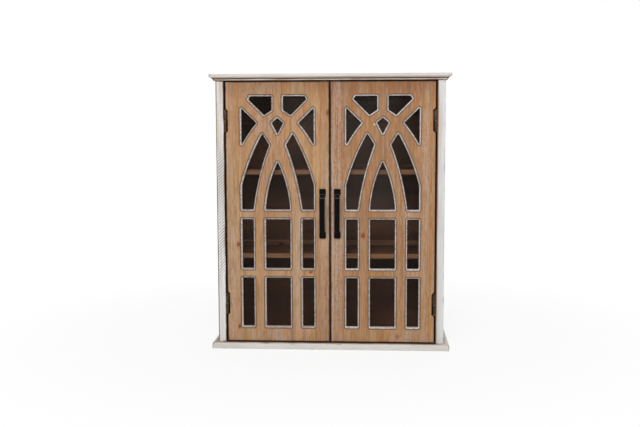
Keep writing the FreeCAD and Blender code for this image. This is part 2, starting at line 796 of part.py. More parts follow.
def make_door_panel(side, screws, pull_holes):
    """One door: a panel pierced by the lights, rebated behind for glass and notched for the hinges."""
    name = f"{SIDE_NAMES[side]}_door"
    body = doc.addObject("PartDesign::Body", f"{name}_stock")
    place(body, side * door_middle, door_rear, door_foot)
    outline = new_sketch(body, f"{name}_outline", "XZ_Plane")
    rectangle(outline, -door_width / 2, door_width / 2, 0, door_height)
    board = pad(body, f"{name}_board", outline, dim.door_thickness)
    doc.recompute()

    def on_front(edge):
        """Edges that lie in the front face."""
        box = edge.BoundBox
        return near(box.YMin, -dim.door_thickness) and near(box.YMax, -dim.door_thickness)

    soften(body, f"{name}_arris", "Fillet", board, on_front, dim.door_edge_round)
    rebate = new_sketch(body, f"{name}_rebate_plan", "XZ_Plane")
    rectangle(rebate, -rebate_half, rebate_half, rebate_foot, rebate_head)
    pocket(body, f"{name}_rebate", rebate, rebate_depth, backwards=True)
    notches = new_sketch(body, f"{name}_notch_plan", "XZ_Plane")
    edge_line = side * door_width / 2
    floor_line = edge_line - side * dim.notch_depth
    for centre in (dim.hinge_inset, door_height - dim.hinge_inset):
        wide = dim.notch_height / 2
        narrow = wide - dim.notch_depth
        draw(notches, [(edge_line, centre - wide), (edge_line, centre + wide),
                       (floor_line, centre + narrow), (floor_line, centre - narrow)])
    pocket(body, f"{name}_notches", notches, backwards=True)
    lights = new_sketch(body, f"{name}_lights_plan", "XZ_Plane")
    draw_lights(lights)
    pierced = pocket(body, f"{name}_lights", lights, backwards=True)

    def in_field(edge):
        """Edges inside the glazed field."""
        centre = edge.CenterOfMass
        return abs(centre.x) < rebate_half.value - EDGE_SLACK

    def at_corner(edge):
        """Upright corners of the lights, through the web."""
        return runs_along(edge, "y") and in_field(edge)

    def at_rim(edge):
        """Edges of the lights in the front face."""
        inside = lower_row.value - EDGE_SLACK < edge.CenterOfMass.z < window_head.value + EDGE_SLACK
        return on_front(edge) and in_field(edge) and inside

    rounded = soften(body, f"{name}_light_corners", "Fillet", pierced, at_corner, dim.light_corner_radius)
    soften(body, f"{name}_rims", "Chamfer", rounded, at_rim, dim.rim_bevel)
    tools = [screw.hole() for screw in screws] + pull_holes
    keep(f"{name}_panel", drill(f"{name}_drilled", body, tools))


def make_glazing(side):
    """Glass of one door and the four beads that hold it in the rebate."""
    name = SIDE_NAMES[side]
    half = rebate_half - dim.glass_clearance
    low = door_foot + rebate_foot + dim.glass_clearance
    high = door_foot + rebate_head - dim.glass_clearance
    near_edge = door_middle - half
    far_edge = door_middle + half
    glass_front = door_rear + rebate_depth
    glass_back = glass_front - dim.glass_thickness
    keep(f"{name}_door_glass", block(f"{name}_pane", (near_edge, far_edge), (glass_back, glass_front),
                                     (low, high), side))
    out = (door_rear, glass_back)
    inner_low = low + dim.bead_width
    inner_high = high - dim.bead_width
    beads = {
        "top": ((near_edge, far_edge), (inner_high, high)),
        "bottom": ((near_edge, far_edge), (low, inner_low)),
        "pull_side": ((near_edge, near_edge + dim.bead_width), (inner_low, inner_high)),
        "hinge_side": ((far_edge - dim.bead_width, far_edge), (inner_low, inner_high)),
    }
    for place_name, (across, up) in beads.items():
        keep(f"{name}_{place_name}_bead", block(f"{name}_{place_name}_strip", across, out, up, side))


def pull_screw_starts(side):
    """Where the two screws of a pull pass through the rear face of the door."""
    return [(side * pull_middle, door_rear, pull_level + step * pull_screw_offset) for step in (ABOVE, BELOW)]


def pull_holes(name, side, reach):
    """Clearance holes for the screws of a pull, from the rear face of the door."""
    return [rod(f"{name}_bore_{number}", start, FROM_WALL, dim.pull_screw_radius + dim.screw_clearance, reach)
            for number, start in enumerate(pull_screw_starts(side))]


def make_pull(side):
    """Bar pull bent from flat stock, with a broader foot at each end."""
    name = f"{SIDE_NAMES[side]}_pull"
    body = doc.addObject("PartDesign::Body", f"{name}_stock")
    place(body, side * pull_middle, dim.case_depth, pull_level)
    half = dim.pull_length / 2
    leg_outer = half - dim.foot_length
    leg_inner = leg_outer - dim.pull_thickness
    bend_inner = dim.pull_bend - dim.pull_thickness
    face = -dim.pull_projection
    back = face + dim.pull_thickness
    foot = -dim.foot_thickness
    section = new_sketch(body, f"{name}_section", "YZ_Plane")
    draw(section, [
        (0, half), (foot, half), (foot, leg_outer),
        (face + dim.pull_bend, leg_outer), (face, leg_outer - dim.pull_bend),
        (face, -(leg_outer - dim.pull_bend)), (face + dim.pull_bend, -leg_outer),
        (foot, -leg_outer), (foot, -half), (0, -half), (0, -leg_inner),
        (back + bend_inner, -leg_inner), (back, -(leg_inner - bend_inner)),
        (back, leg_inner - bend_inner), (back + bend_inner, leg_inner), (0, leg_inner),
    ], {3: -QUARTER_BOW, 5: -QUARTER_BOW, 11: QUARTER_BOW, 13: QUARTER_BOW})
    bar = pad(body, f"{name}_bar", section, dim.pull_width)
    bar.Midplane = True
    feet = new_sketch(body, f"{name}_feet_plan", "XZ_Plane")
    for low, high in ((leg_outer, half), (-half, -leg_outer)):
        rectangle(feet, -dim.foot_width / 2, dim.foot_width / 2, low, high)
    footed = pad(body, f"{name}_feet", feet, dim.foot_thickness)
    doc.recompute()

    def foot_corner(edge):
        """Outer upright corners of the feet."""
        centre = edge.CenterOfMass
        at_end = near(abs(centre.z), half)
        return runs_along(edge, "y") and near(abs(centre.x), dim.foot_width / 2) and at_end

    def bar_arris(edge):
        """Long edges of the bar's outer face, round both bends."""
        box = edge.BoundBox
        at_side = near(abs(box.XMin), dim.pull_width / 2) and box.XLength < EDGE_SLACK
        outside = box.YMax < foot.value + EDGE_SLACK
        front = near(box.YMin, face) and box.YMax < back.value - EDGE_SLACK
        bend = near(box.YMax, face + dim.pull_bend) and near(box.YMin, face)
        leg = near(box.YMax, foot) and near(abs(edge.CenterOfMass.z), leg_outer)
        return at_side and outside and (front or bend or leg)

    cornered = soften(body, f"{name}_foot_corners", "Fillet", footed, foot_corner, dim.foot_corner)
    soften(body, f"{name}_arris", "Fillet", cornered, bar_arris, dim.pull_edge_round)
    reach = dim.door_thickness + dim.pull_screw_grip + dim.screw_clearance
    keep(f"{name}_handle", drill(f"{name}_drilled", body, pull_holes(name, side, reach)))
    screws = []
    for number, start in enumerate(pull_screw_starts(side)):
        shank = rod(f"{name}_shank_{number}", start, FROM_WALL, dim.pull_screw_radius,
                    dim.door_thickness + dim.pull_screw_grip)
        cap = rod(f"{name}_cap_{number}", start, TO_WALL, dim.pull_screw_head, dim.pull_screw_cap)
        screws.append(fuse(f"{name}_screw_{number}", [shank, cap]))
    keep(f"{name}_screws", group(f"{name}_screw_set", screws))


def make_strike(side, screw):
    """Steel strike plate on the rear of a door, facing its magnet."""
    name = f"{SIDE_NAMES[side]}_strike"
    plate = block(f"{name}_blank", (dim.magnet_inset, dim.magnet_inset + dim.magnet_width),
                  (strike_face, door_rear),
                  (strike_level - dim.strike_height / 2, strike_level + dim.strike_height / 2), side)
    keep(f"{name}_plate", drill(f"{name}_drilled", plate, [screw.hole()]))
    keep(f"{name}_screw", screw.solid())


def make_case():
    """Boards, shelves, catch and fasteners that stay on the wall."""
    crown = board_screws("crown", crown_level, DOWN)
    base = board_screws("base", as_size(0), UP)
    catch = catch_screws()
    rail = rail_screws()
    make_base(base)
    make_crown(crown, catch)
    hinge_screws = {side: [screw for level in (ABOVE, BELOW) for screw in case_leaf_screws(side, level)]
                    for side in (LEFT, RIGHT)}
    edge_screws = {side: back_screws_on(side) for side in (LEFT, RIGHT)}
    for side in (LEFT, RIGHT):
        own_boards = [screw for screw in crown + base if SIDE_NAMES[side] in screw.name]
        make_side(side, own_boards + edge_screws[side] + hinge_screws[side])
    back = edge_screws[LEFT] + edge_screws[RIGHT] + rail
    make_back(back)
    make_rail(rail)
    make_shelf("lower_shelf", lower_shelf_level)
    make_shelf("upper_shelf", upper_shelf_level)
    make_shelf_pins()
    make_catch(catch)
    sets = {"crown_screws": crown, "base_screws": base, "back_screws": back, "catch_screws": catch,
            "case_hinge_screws": hinge_screws[LEFT] + hinge_screws[RIGHT]}
    for label, screws in sets.items():
        keep(label, group(f"{label}_set", [screw.solid() for screw in screws]))


def make_doors():
    """Both doors with their hinges, glazing, pulls and strikes."""
    washers = []
    for side in (LEFT, RIGHT):
        name = SIDE_NAMES[side]
        leaf_screws = [screw for level in (ABOVE, BELOW) for screw in door_leaf_screws(side, level)]
        strike = strike_screw(side)
        holes = pull_holes(f"{name}_door", side, dim.door_thickness)
        make_door_panel(side, leaf_screws + [strike], holes)
        make_glazing(side)
        make_pull(side)
        make_strike(side, strike)
        keep(f"{name}_door_hinge_screws", group(f"{name}_door_hinge_screw_set",
                                                [screw.solid() for screw in leaf_screws]))
        washers += [make_hinge(side, level) for level in (ABOVE, BELOW)]
    keep("hinge_washers", group("hinge_washer_set", washers))


def check_document():
    """Stops where an object failed or a sub-part has no sound shape."""
    for item in doc.Objects:
        if "Invalid" in item.State or "Error" in item.State:
            raise RuntimeError(f"{item.Name} failed: {item.State}")
    for label, item in pieces.items():
        if item.Label != label:
            raise RuntimeError(f"{label} has the label {item.Label}")
        if item.Shape.isNull() or not item.Shape.isValid() or not item.Shape.Solids:
            raise RuntimeError(f"{label} has no sound shape")


make_case()
make_doors()
doc.recompute()
check_document()
os.makedirs("parts", exist_ok=True)
for label, item in pieces.items():
    item.Shape.exportStep(f"parts/{label}.step")
print(f"{len(pieces)} sub-parts, overall {2 * board_half.value:.1f} x "
      f"{dim.case_depth.value + dim.base_nose.value:.1f} x {crown_level.value:.1f} mm")
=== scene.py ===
"""Looks of a wall cabinet: worn boards, limed doors with painted tracery, pulls, hinges and screws."""

import json
import logging
import math
from collections.abc import Callable
from dataclasses import dataclass
from enum import Enum
from functools import partial, reduce

import bmesh
import bpy
import numpy as np
from mathutils import Matrix, Vector


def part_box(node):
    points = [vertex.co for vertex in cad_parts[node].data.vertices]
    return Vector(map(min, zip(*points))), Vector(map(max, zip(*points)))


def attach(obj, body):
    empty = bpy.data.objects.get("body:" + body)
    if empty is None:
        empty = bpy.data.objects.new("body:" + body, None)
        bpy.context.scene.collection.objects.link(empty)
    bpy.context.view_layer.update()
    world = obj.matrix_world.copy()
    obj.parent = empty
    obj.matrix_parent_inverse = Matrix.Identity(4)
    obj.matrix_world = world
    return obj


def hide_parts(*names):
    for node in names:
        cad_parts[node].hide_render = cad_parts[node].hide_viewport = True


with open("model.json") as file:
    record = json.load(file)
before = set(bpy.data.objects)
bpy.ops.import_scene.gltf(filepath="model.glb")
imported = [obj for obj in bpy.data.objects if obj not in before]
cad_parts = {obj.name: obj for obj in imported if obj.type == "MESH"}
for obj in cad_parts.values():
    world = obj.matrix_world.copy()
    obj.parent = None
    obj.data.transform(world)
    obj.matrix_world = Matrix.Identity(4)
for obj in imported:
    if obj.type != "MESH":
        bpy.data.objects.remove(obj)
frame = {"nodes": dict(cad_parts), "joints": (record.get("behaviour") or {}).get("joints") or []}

Array = np.ndarray
Pair = tuple[float, float]
Triple = tuple[float, float, float]
Material = bpy.types.Material
Node = bpy.types.Node
Socket = bpy.types.NodeSocket
Tree = bpy.types.NodeTree
Value = Socket | float | tuple
LOG = logging.getLogger("cabinet")
MERGE_DISTANCE = 1e-6
SHARP_ANGLE = math.radians(40.0)
# A flat's first point stands this far from the corner, or this share of a short flat
FLAT_MARGIN = 0.004
SHORT_SHARE = 0.3
# A rounding is at least this many times the draw at a bar's end
LEAST_ROUND = 1.05
# Rounding of a moulded board's upright corners
PLAN_ROUND = 0.0012
# Seeds that one board keeps for the wander of its arrises
SEEDS_EACH = 16
# Half angle under which an edge of a light counts as straight
STRAIGHT = 1e-9
# The stain of the inside starts this far ahead of the doors' rear, reaching beyond their faces as painted
# shade of the gaps over and under them
STAIN_AND_SHADE_AHEAD = 0.0265


class Side(Enum):
    """A door or side board, by the sign of its place across."""

    LEFT = -1
    RIGHT = 1

    @property
    def word(self) -> str:
        """The side's name as the nodes carry it."""
        return self.name.lower()

    @property
    def body(self) -> str:
        """The body of the door on this side."""
        return f"{self.word}_door"


class Level(Enum):
    """A hinge's height on its door."""

    UPPER = "upper"
    LOWER = "lower"


class Run(Enum):
    """Which way a piece is long: the places of its two outline axes and of its length."""

    X = (1, 2, 0)
    Y = (2, 0, 1)
    Z = (0, 1, 2)


# Frame and meshes


def box_of(node: str) -> tuple[Array, Array]:
    """Lowest and highest corner of a CAD node, by its name."""
    low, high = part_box(node)
    return np.array(low), np.array(high)


def solids_of(node: str) -> list[tuple[Array, Array]]:
    """Boxes of the separate solids of a CAD node.

    Corners that share a place get one number, and each face passes its lowest number on to its
    corners until nothing changes, so every solid ends with a number of its own.

    Args:
        node: the node's name.

    Returns:
        The lowest and highest corner of each solid.
    """
    mesh = frame["nodes"][node].data
    places = np.empty(len(mesh.vertices) * 3)
    mesh.vertices.foreach_get("co", places)
    places = places.reshape(-1, 3)
    corners = np.empty(len(mesh.loops), dtype=np.int64)
    mesh.loops.foreach_get("vertex_index", corners)
    _, shared = np.unique(np.round(places, 6), axis=0, return_inverse=True)
    shared = shared.ravel()
    faces = shared[corners].reshape(-1, 3)
    group = np.arange(shared.max() + 1)
    settled = False
    while not settled:
        lowest = np.repeat(group[faces].min(axis=1), 3)
        passed = group.copy()
        np.minimum.at(passed, faces.ravel(), lowest)
        settled = np.array_equal(passed, group)
        group = passed
    owner = group[shared]
    solids = [places[owner == name] for name in np.unique(owner)]
    return [(solid.min(axis=0), solid.max(axis=0)) for solid in solids]


def wander(place: Array, seed: int) -> Array:
    """A smooth wandering value between about -1 and 1: three sines of seeded phase.

    Args:
        place: distances along the piece, in metres.
        seed: which wander it is.

    Returns:
        One value for each place.
    """
    phases = np.random.default_rng(seed).uniform(0.0, 2.0 * np.pi, 3)
    waves = [(9.0, 0.5), (23.0, 0.3), (61.0, 0.2)]
    return sum(weight * np.sin(2.0 * np.pi * rate * place + phase)
               for (rate, weight), phase in zip(waves, phases))


def add_object(name: str, data: bpy.types.ID) -> bpy.types.Object:
    """A new object in the scene.

    Args:
        name: the object's name.
        data: its mesh, lamp or camera.

    Returns:
        The object.
    """
    item = bpy.data.objects.new(name, data)
    bpy.context.scene.collection.objects.link(item)
    return item


class Shell:
    """Grids and caps that make up the mesh of one piece."""

    def __init__(self) -> None:
        """Starts with nothing in it."""
        self.points: list[Array] = []
        self.faces: list[list[int]] = []
        self.values: dict[str, list[Array]] = {"arris": [], "tone": [], "across": []}
        self.count = 0

    def grid(self, points: Array, caps: bool = True, **values: Array) -> None:
        """Adds a surface given on a grid whose last column joins the first.

        Args:
            points: places, as rows by columns by three.
            caps: whether the first and the last row are closed by a face.
            values: named numbers on the grid for the finish.
        """
        rows, columns = points.shape[:2]
        numbers = self.count + np.arange(rows * columns).reshape(rows, columns)
        ahead = np.roll(numbers, -1, axis=1)
        quads = np.stack([numbers[:-1], ahead[:-1], ahead[1:], numbers[1:]], axis=-1)
        self.faces += quads.reshape(-1, 4).tolist()
        if caps:
            self.faces += [numbers[0, ::-1].tolist(), numbers[-1].tolist()]
        self.points.append(points.reshape(-1, 3))
        for name, held in self.values.items():
            given = np.broadcast_to(values.get(name, 0.0), (rows, columns))
            held.append(given.ravel())
        self.count += rows * columns

    def loop(self, points: Array, **values: Array) -> None:
        """Adds a closed ring surface: the last row joins the first as well.

        Args:
            points: places, as rows by columns by three.
            values: named numbers on the grid for the finish.
        """
        closed = np.concatenate([points, points[:1]])
        numbers = {name: np.concatenate([given, given[:1]]) for name, given in values.items()}
        self.grid(closed, caps=False, **numbers)

    def piece(self, name: str, finish: Material, body: str, slot: str,
              stands_for: tuple[str, ...] = ()) -> None:
        """Makes the mesh, with doubles merged and faces outwards, and sets it on its body.

        Args:
            name: the piece's name.
            finish: its material.
            body: the body that it rides on.
            slot: the record's material slot; not used.
            stands_for: the CAD nodes that it replaces.
        """
        mesh = bpy.data.meshes.new(name)
        mesh.from_pydata(np.concatenate(self.points), [], self.faces)
        for key, held in self.values.items():
            attribute = mesh.attributes.new(key, "FLOAT", "POINT")
            attribute.data.foreach_set("value", np.concatenate(held).astype(np.float32))
        work = bmesh.new()
        work.from_mesh(mesh)
        bmesh.ops.remove_doubles(work, verts=work.verts, dist=MERGE_DISTANCE)
        bmesh.ops.recalc_face_normals(work, faces=work.faces)
        work.to_mesh(mesh)
        work.free()
        mesh.shade_smooth()
        mesh.set_sharp_from_angle(angle=SHARP_ANGLE)
        mesh.materials.append(finish)
        item = add_object(name, mesh)
        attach(item, body)
        if stands_for:
            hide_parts(*stands_for)
        LOG.info("%s: %d faces on %s", name, len(mesh.polygons), body)


def dress(node: str, finish: Material) -> None:
    """Gives a carried-over CAD node its finish.

    Args:
        node: the node's name.
        finish: the material for all its slots.
    """
    for held in frame["nodes"][node].material_slots:
        held.material = finish
    LOG.info("%s: dressed in %s", node, finish.name)


# Shapes


@dataclass(frozen=True)
class Outline:
    """A closed outline with rounded corners: each point is an anchor plus the radius times a reach.

    Attributes:
        anchor: sharp places.
        reach: direction from the anchor for a radius of one.
        normal: outward normals.
        arris: one on the rounded corners, zero on the flats.
        corner: number of the corner that a point belongs to.
        share: how far a point lies towards the next corner, on the flats.
    """

    anchor: Array
    reach: Array
    normal: Array
    arris: Array
    corner: Array
    share: Array

    def spread(self, values: Array) -> Array:
        """Hands one value for each corner on to the points, blended along the flats."""
        share = self.share.reshape((-1,) + (1,) * (values.ndim - 1))
        return values[self.corner] * (1.0 - share) + np.roll(values, -1, axis=0)[self.corner] * share


def round_outline(points: Array, steps: int = 4, margin: float = FLAT_MARGIN, fill: int = 0) -> Outline:
    """Rounds the corners of a polygon that runs anticlockwise.

    A corner's arc has its centre at minus the sum of the two edge normals over one plus their
    product, times the radius, and turns from one normal to the other. A hollow corner has the
    signs reversed. A point on each flat stands a margin away from the corner.

    Args:
        points: corners, as a count by two.
        steps: edges to an arc.
        margin: distance of the first points on the flats.
        fill: further points along each flat.

    Returns:
        The outline.
    """
    count = len(points)
    edge = np.roll(points, -1, axis=0) - points
    length = np.linalg.norm(edge, axis=1)
    after = edge / length[:, None]
    before = np.roll(after, 1, axis=0)
    first = np.stack([before[:, 1], -before[:, 0]], axis=1)
    second = np.stack([after[:, 1], -after[:, 0]], axis=1)
    product = np.sum(first * second, axis=1)
    turn = np.arctan2(first[:, 0] * second[:, 1] - first[:, 1] * second[:, 0], product)
    sign = np.sign(turn)[:, None]
    swing = turn[:, None] * np.linspace(0.0, 1.0, steps + 1)
    angle = np.arctan2(first[:, 1], first[:, 0])[:, None] + swing
    arc = np.stack([np.cos(angle), np.sin(angle)], axis=-1)
    centre = -sign * (first + second) / (1.0 + product)[:, None]
    room = np.minimum(margin, SHORT_SHARE * length)
    lead = (points - before * np.roll(room, 1)[:, None])[:, None]
    leave = points + after * room[:, None]
    along = np.linspace(0.0, 1.0, fill + 2)[:-1]
    flat_length = (length - room - np.roll(room, -1))[:, None, None]
    flat = leave[:, None] + after[:, None] * flat_length * along[None, :, None]
    flat_share = (room[:, None] + flat_length[:, :, 0] * along) / length[:, None]
    flat_share[:, 0] = 0.0
    none = np.zeros((count, 1, 2))
    anchor = np.concatenate([lead, np.repeat(points[:, None], steps + 1, axis=1), flat], axis=1)
    no_reach = np.repeat(none, fill + 1, axis=1)
    reach = np.concatenate([none, centre[:, None] + sign[:, None] * arc, no_reach], axis=1)
    normal = np.concatenate([first[:, None], arc, np.repeat(second[:, None], fill + 1, axis=1)], axis=1)
    arris = np.zeros(anchor.shape[:2])
    arris[:, 1:steps + 2] = 1.0
    share = np.zeros(anchor.shape[:2])
    share[:, steps + 2:] = flat_share
    corner = np.repeat(np.arange(count)[:, None], anchor.shape[1], axis=1)
    return Outline(anchor.reshape(-1, 2), reach.reshape(-1, 2), normal.reshape(-1, 2),
                   arris.ravel(), corner.ravel(), share.ravel())


@dataclass(frozen=True)
class Ease:
    """How the arrises of a board are eased.

    Attributes:
        radius: rounding of the long arrises.
        end: rounding of the two ends.
        wear: how much the rounding wanders, as a share.
        seed: which wander it is.
    """

    radius: float = 0.0010
    end: float = 0.0006
    wear: float = 0.35
    seed: int = 1


def eased_bar(shell: Shell, corners: Array, run: Run, span: Pair, ease: Ease,
              tone: Callable[[Array], Array] | None = None, station: float = 0.02) -> None:
    """Adds a bar: a rounded outline carried straight along its length.

    The two parameters are the place along the outline and the place along the bar. The corner
    radius wanders along the bar, and at each end the outline draws in on a quarter circle.

    Args:
        shell: where the surface goes.
        corners: the outline's corners, in the two axes that the run leaves.
        run: which way the bar is long.
        span: where it starts and ends.
        ease: how its arrises are eased.
        tone: gives the finish's tone from the places.
        station: distance between sections along the bar.
    """
    outline = round_outline(corners)
    low, high = span
    quarter = np.linspace(0.0, np.pi / 2.0, 4)
    draw = ease.end * (1.0 - np.sin(quarter))
    step = ease.end * (1.0 - np.cos(quarter))
    margin = min(FLAT_MARGIN, SHORT_SHARE * (high - low))
    inner = np.linspace(low + margin, high - margin, max(2, int((high - low) / station)))
    along = np.concatenate([low + step, inner, high - step[::-1]])
    inset = np.concatenate([draw, np.zeros(len(inner)), draw[::-1]])
    at_end = np.concatenate([np.ones(len(step)), np.zeros(len(inner)), np.ones(len(step))])
    drifts = np.stack([wander(along, ease.seed * SEEDS_EACH + number)
                       for number in range(len(corners))], axis=1)
    radius = ease.radius * (1.0 + ease.wear * drifts[:, outline.corner])
    radius = np.maximum(radius, inset[:, None] * LEAST_ROUND)
    flat = outline.anchor + radius[..., None] * outline.reach - inset[:, None, None] * outline.normal
    points = np.empty(flat.shape[:2] + (3,))
    first, second, third = run.value
    points[..., first] = flat[..., 0]
    points[..., second] = flat[..., 1]
    points[..., third] = along[:, None]
    arris = np.maximum(outline.arris, at_end[:, None])
    shell.grid(points, arris=arris, tone=tone(points) if tone else np.zeros(arris.shape))


def rectangle(low: Array, high: Array) -> Array:
    """Corners of an upright rectangle, anticlockwise."""
    return np.array([low, (high[0], low[1]), high, (low[0], high[1])])


def box_bar(shell: Shell, low: Array, high: Array, run: Run, ease: Ease,
            tone: Callable[[Array], Array] | None = None) -> None:
    """Adds an eased bar that fills a box.

    Args:
        shell: where the surface goes.
        low: the box's lowest corner.
        high: the box's highest corner.
        run: which way the bar is long.
        ease: how its arrises are eased.
        tone: gives the finish's tone from the places.
    """
    first, second, third = run.value
    corners = rectangle(low[[first, second]], high[[first, second]])
    eased_bar(shell, corners, run, (low[third], high[third]), ease, tone)


def moulded_board(shell: Shell, low: Array, high: Array, section: Array, arris: Array, tone: Array,
                  wear: float, seed: int) -> None:
    """Adds a board whose moulding runs along its front and both ends, and whose rear is square.

    The two parameters are the place round the plan and the place up the section. Each level of the
    section is the plan drawn in by the section's inset, except at the rear, and worn arrises
    draw in a little more.

    Args:
        shell: where the surface goes.
        low: lowest corner of the board's box.
        high: highest corner of the board's box.
        section: inset and height of each level, from the underside up.
        arris: one where a level lies on an arris.
        tone: the finish's tone of each level.
        wear: how far a worn arris draws in.
        seed: which wander it is.
    """
    plan = round_outline(rectangle(low[:2], high[:2]), steps=3, fill=24)
    inward = plan.spread(np.array([(1.0, 1.0), (-1.0, 1.0), (-1.0, 0.0), (1.0, 0.0)]))
    reach = PLAN_ROUND * plan.reach
    place = plan.anchor[:, 0] + 2.0 * plan.anchor[:, 1]
    drift = np.stack([wander(place, seed + level) for level in range(len(section))])
    inset = section[:, :1] + wear * arris[:, None] * np.maximum(drift, 0.0)
    flat = plan.anchor + reach + inset[..., None] * inward
    height = np.broadcast_to(section[:, 1:], flat.shape[:2])
    points = np.concatenate([flat, height[..., None]], axis=-1)
    rim = np.ones(len(section))
    rim[[0, -1]] = 0.0
    worn = np.maximum(arris[:, None] * np.ones(len(place)), rim[:, None] * plan.arris)
    shell.grid(points, arris=worn, tone=np.broadcast_to(tone[:, None], worn.shape))


def turned(shell: Shell, origin: Array, run: Run, sign: int, radius: Array, along: Array) -> None:
    """Adds a turned form: radius and distance along its axis, both given by level and by angle.

    Args:
        shell: where the surface goes.
        origin: where the axis starts.
        run: the axis.
        sign: which way the axis points.
        radius: radius at each level and angle.
        along: distance along the axis at each level and angle.
    """
    angle = np.linspace(0.0, 2.0 * np.pi, radius.shape[1], endpoint=False)
    first, second, third = run.value
    points = np.empty(radius.shape + (3,))
    points[..., first] = origin[first] + radius * np.cos(angle)
    points[..., second] = origin[second] + radius * np.sin(angle)
    points[..., third] = origin[third] + sign * along
    shell.grid(points, caps=False)


def turned_rod(shell: Shell, origin: Array, run: Run, profile: Array, columns: int = 28) -> None:
    """Adds a plain turned rod from a profile of radius and distance along the axis.

    Args:
        shell: where the surface goes.
        origin: where the axis starts.
        run: the axis.
        profile: radius and distance of each level.
        columns: edges round the rod.
    """
    radius = np.repeat(profile[:, :1], columns, axis=1)
    along = np.repeat(profile[:, 1:], columns, axis=1)
    turned(shell, origin, run, 1, radius, along)


@dataclass(frozen=True)
class ScrewForm:
    """A countersunk or pan-headed screw with a cross recess and a thread.

    Attributes:
        pitch: rise of one turn of the thread.
        turn_steps: sections to one turn.
        root: radius at the bottom of the thread, as a share of the shank's.
        recess: depth of the cross at its middle, as a share of the head's radius.
        shallower: share of that depth that the cross would lose by the head's rim.
        arm_half: half the width of an arm of the cross, as a share of the head's radius.
        arm_reach: how far the arms reach, as a share of the head's radius.
        lip: how far the head's rim lies below its top.
        proud: how far the head stands out of the board.
        columns: edges round the screw.
    """

    pitch: float = 0.0013
    turn_steps: int = 4
    root: float = 0.72
    recess: float = 0.38
    shallower: float = 0.55
    arm_half: float = 0.16
    arm_reach: float = 0.62
    lip: float = 0.000105
    proud: float = 0.00008
    columns: int = 32

    def add(self, shell: Shell, start: Array, run: Run, sign: int,
            sizes: tuple[float, float, float, float]) -> None:
        """Adds one screw.

        The head's top is a disc sunk by a cross: the sink is full where the lesser of the two
        distances from the arms' middle lines is under an arm's half width. Below it the radius
        falls along the countersink and then follows the thread, a ridge that climbs with the
        angle, and closes in a point.

        Args:
            shell: where the surface goes.
            start: the middle of the head's top.
            run: the screw's axis.
            sign: which way it points.
            sizes: radius of the head, depth of the head, radius of the shank, length.
        """
        head, sink, shank, length = sizes
        angle = np.linspace(0.0, 2.0 * np.pi, self.columns, endpoint=False)
        rings = np.array([0.0, 0.12, 0.24, 0.36, 0.48, 0.56, 0.64, 0.8, 0.94, 1.0])[:, None] * head
        near = np.minimum(np.abs(rings * np.cos(angle)), np.abs(rings * np.sin(angle)))
        arm = (near < self.arm_half * head) & (rings < self.arm_reach * head)
        lip = np.where(rings < head, 0.0, self.lip)
        sunk = self.recess * head * (1.0 - self.shallower * rings / head)
        top = np.where(arm, sunk, 0.0) + lip - self.proud
        count = int((length - sink) / self.pitch * self.turn_steps)
        levels = np.linspace(sink, length - 2.0 * shank, count)[:, None]
        ridge = np.abs(2.0 * np.mod(levels / self.pitch - angle / (2.0 * np.pi), 1.0) - 1.0)
        thread = shank * (self.root + (1.0 - self.root) * ridge)
        point = np.array([(0.6 * shank, length - 0.7 * shank), (0.0, length)])
        radius = np.concatenate([np.broadcast_to(rings, top.shape), thread,
                                 np.repeat(point[:, :1], self.columns, axis=1)])
        along = np.concatenate([top, np.broadcast_to(levels, thread.shape),
                                np.repeat(point[:, 1:], self.columns, axis=1)])
        turned(shell, start, run, sign, radius, along)


# Finishes


@dataclass(frozen=True)
class Tint:
    """A colour as it is seen on a screen, in 256 steps of red, green and blue."""

    red: int
    green: int
    blue: int

    @property
    def linear(self) -> tuple[float, float, float, float]:
        """The colour as light, for a shader's socket."""
        shares = np.array([self.red, self.green, self.blue]) / 255.0
        light = np.where(shares <= 0.04045, shares / 12.92, ((shares + 0.055) / 1.055) ** 2.4)
        return (*light.tolist(), 1.0)


def feed(tree: Tree, socket: Socket, value: Value | Tint) -> None:
    """Links a socket to another, or sets it to a plain value or a tint.

    Args:
        tree: the nodes.
        socket: the socket.
        value: what it gets.
    """
    if isinstance(value, Socket):
        tree.links.new(value, socket)
    else:
        socket.default_value = value.linear if isinstance(value, Tint) else value


def put(tree: Tree, kind: str, values: dict | None = None, **settings: str) -> Node:
    """Adds a node.

    Args:
        tree: the nodes.
        kind: the node's kind, without the words that every kind starts with.
        values: what its sockets get, by their numbers or names.
        settings: its own settings, which come first.

    Returns:
        The node.
    """
    node = tree.nodes.new(f"ShaderNode{kind}")
    for name, setting in settings.items():
        setattr(node, name, setting)
    for key, value in (values or {}).items():
        feed(tree, node.inputs[key], value)
    return node


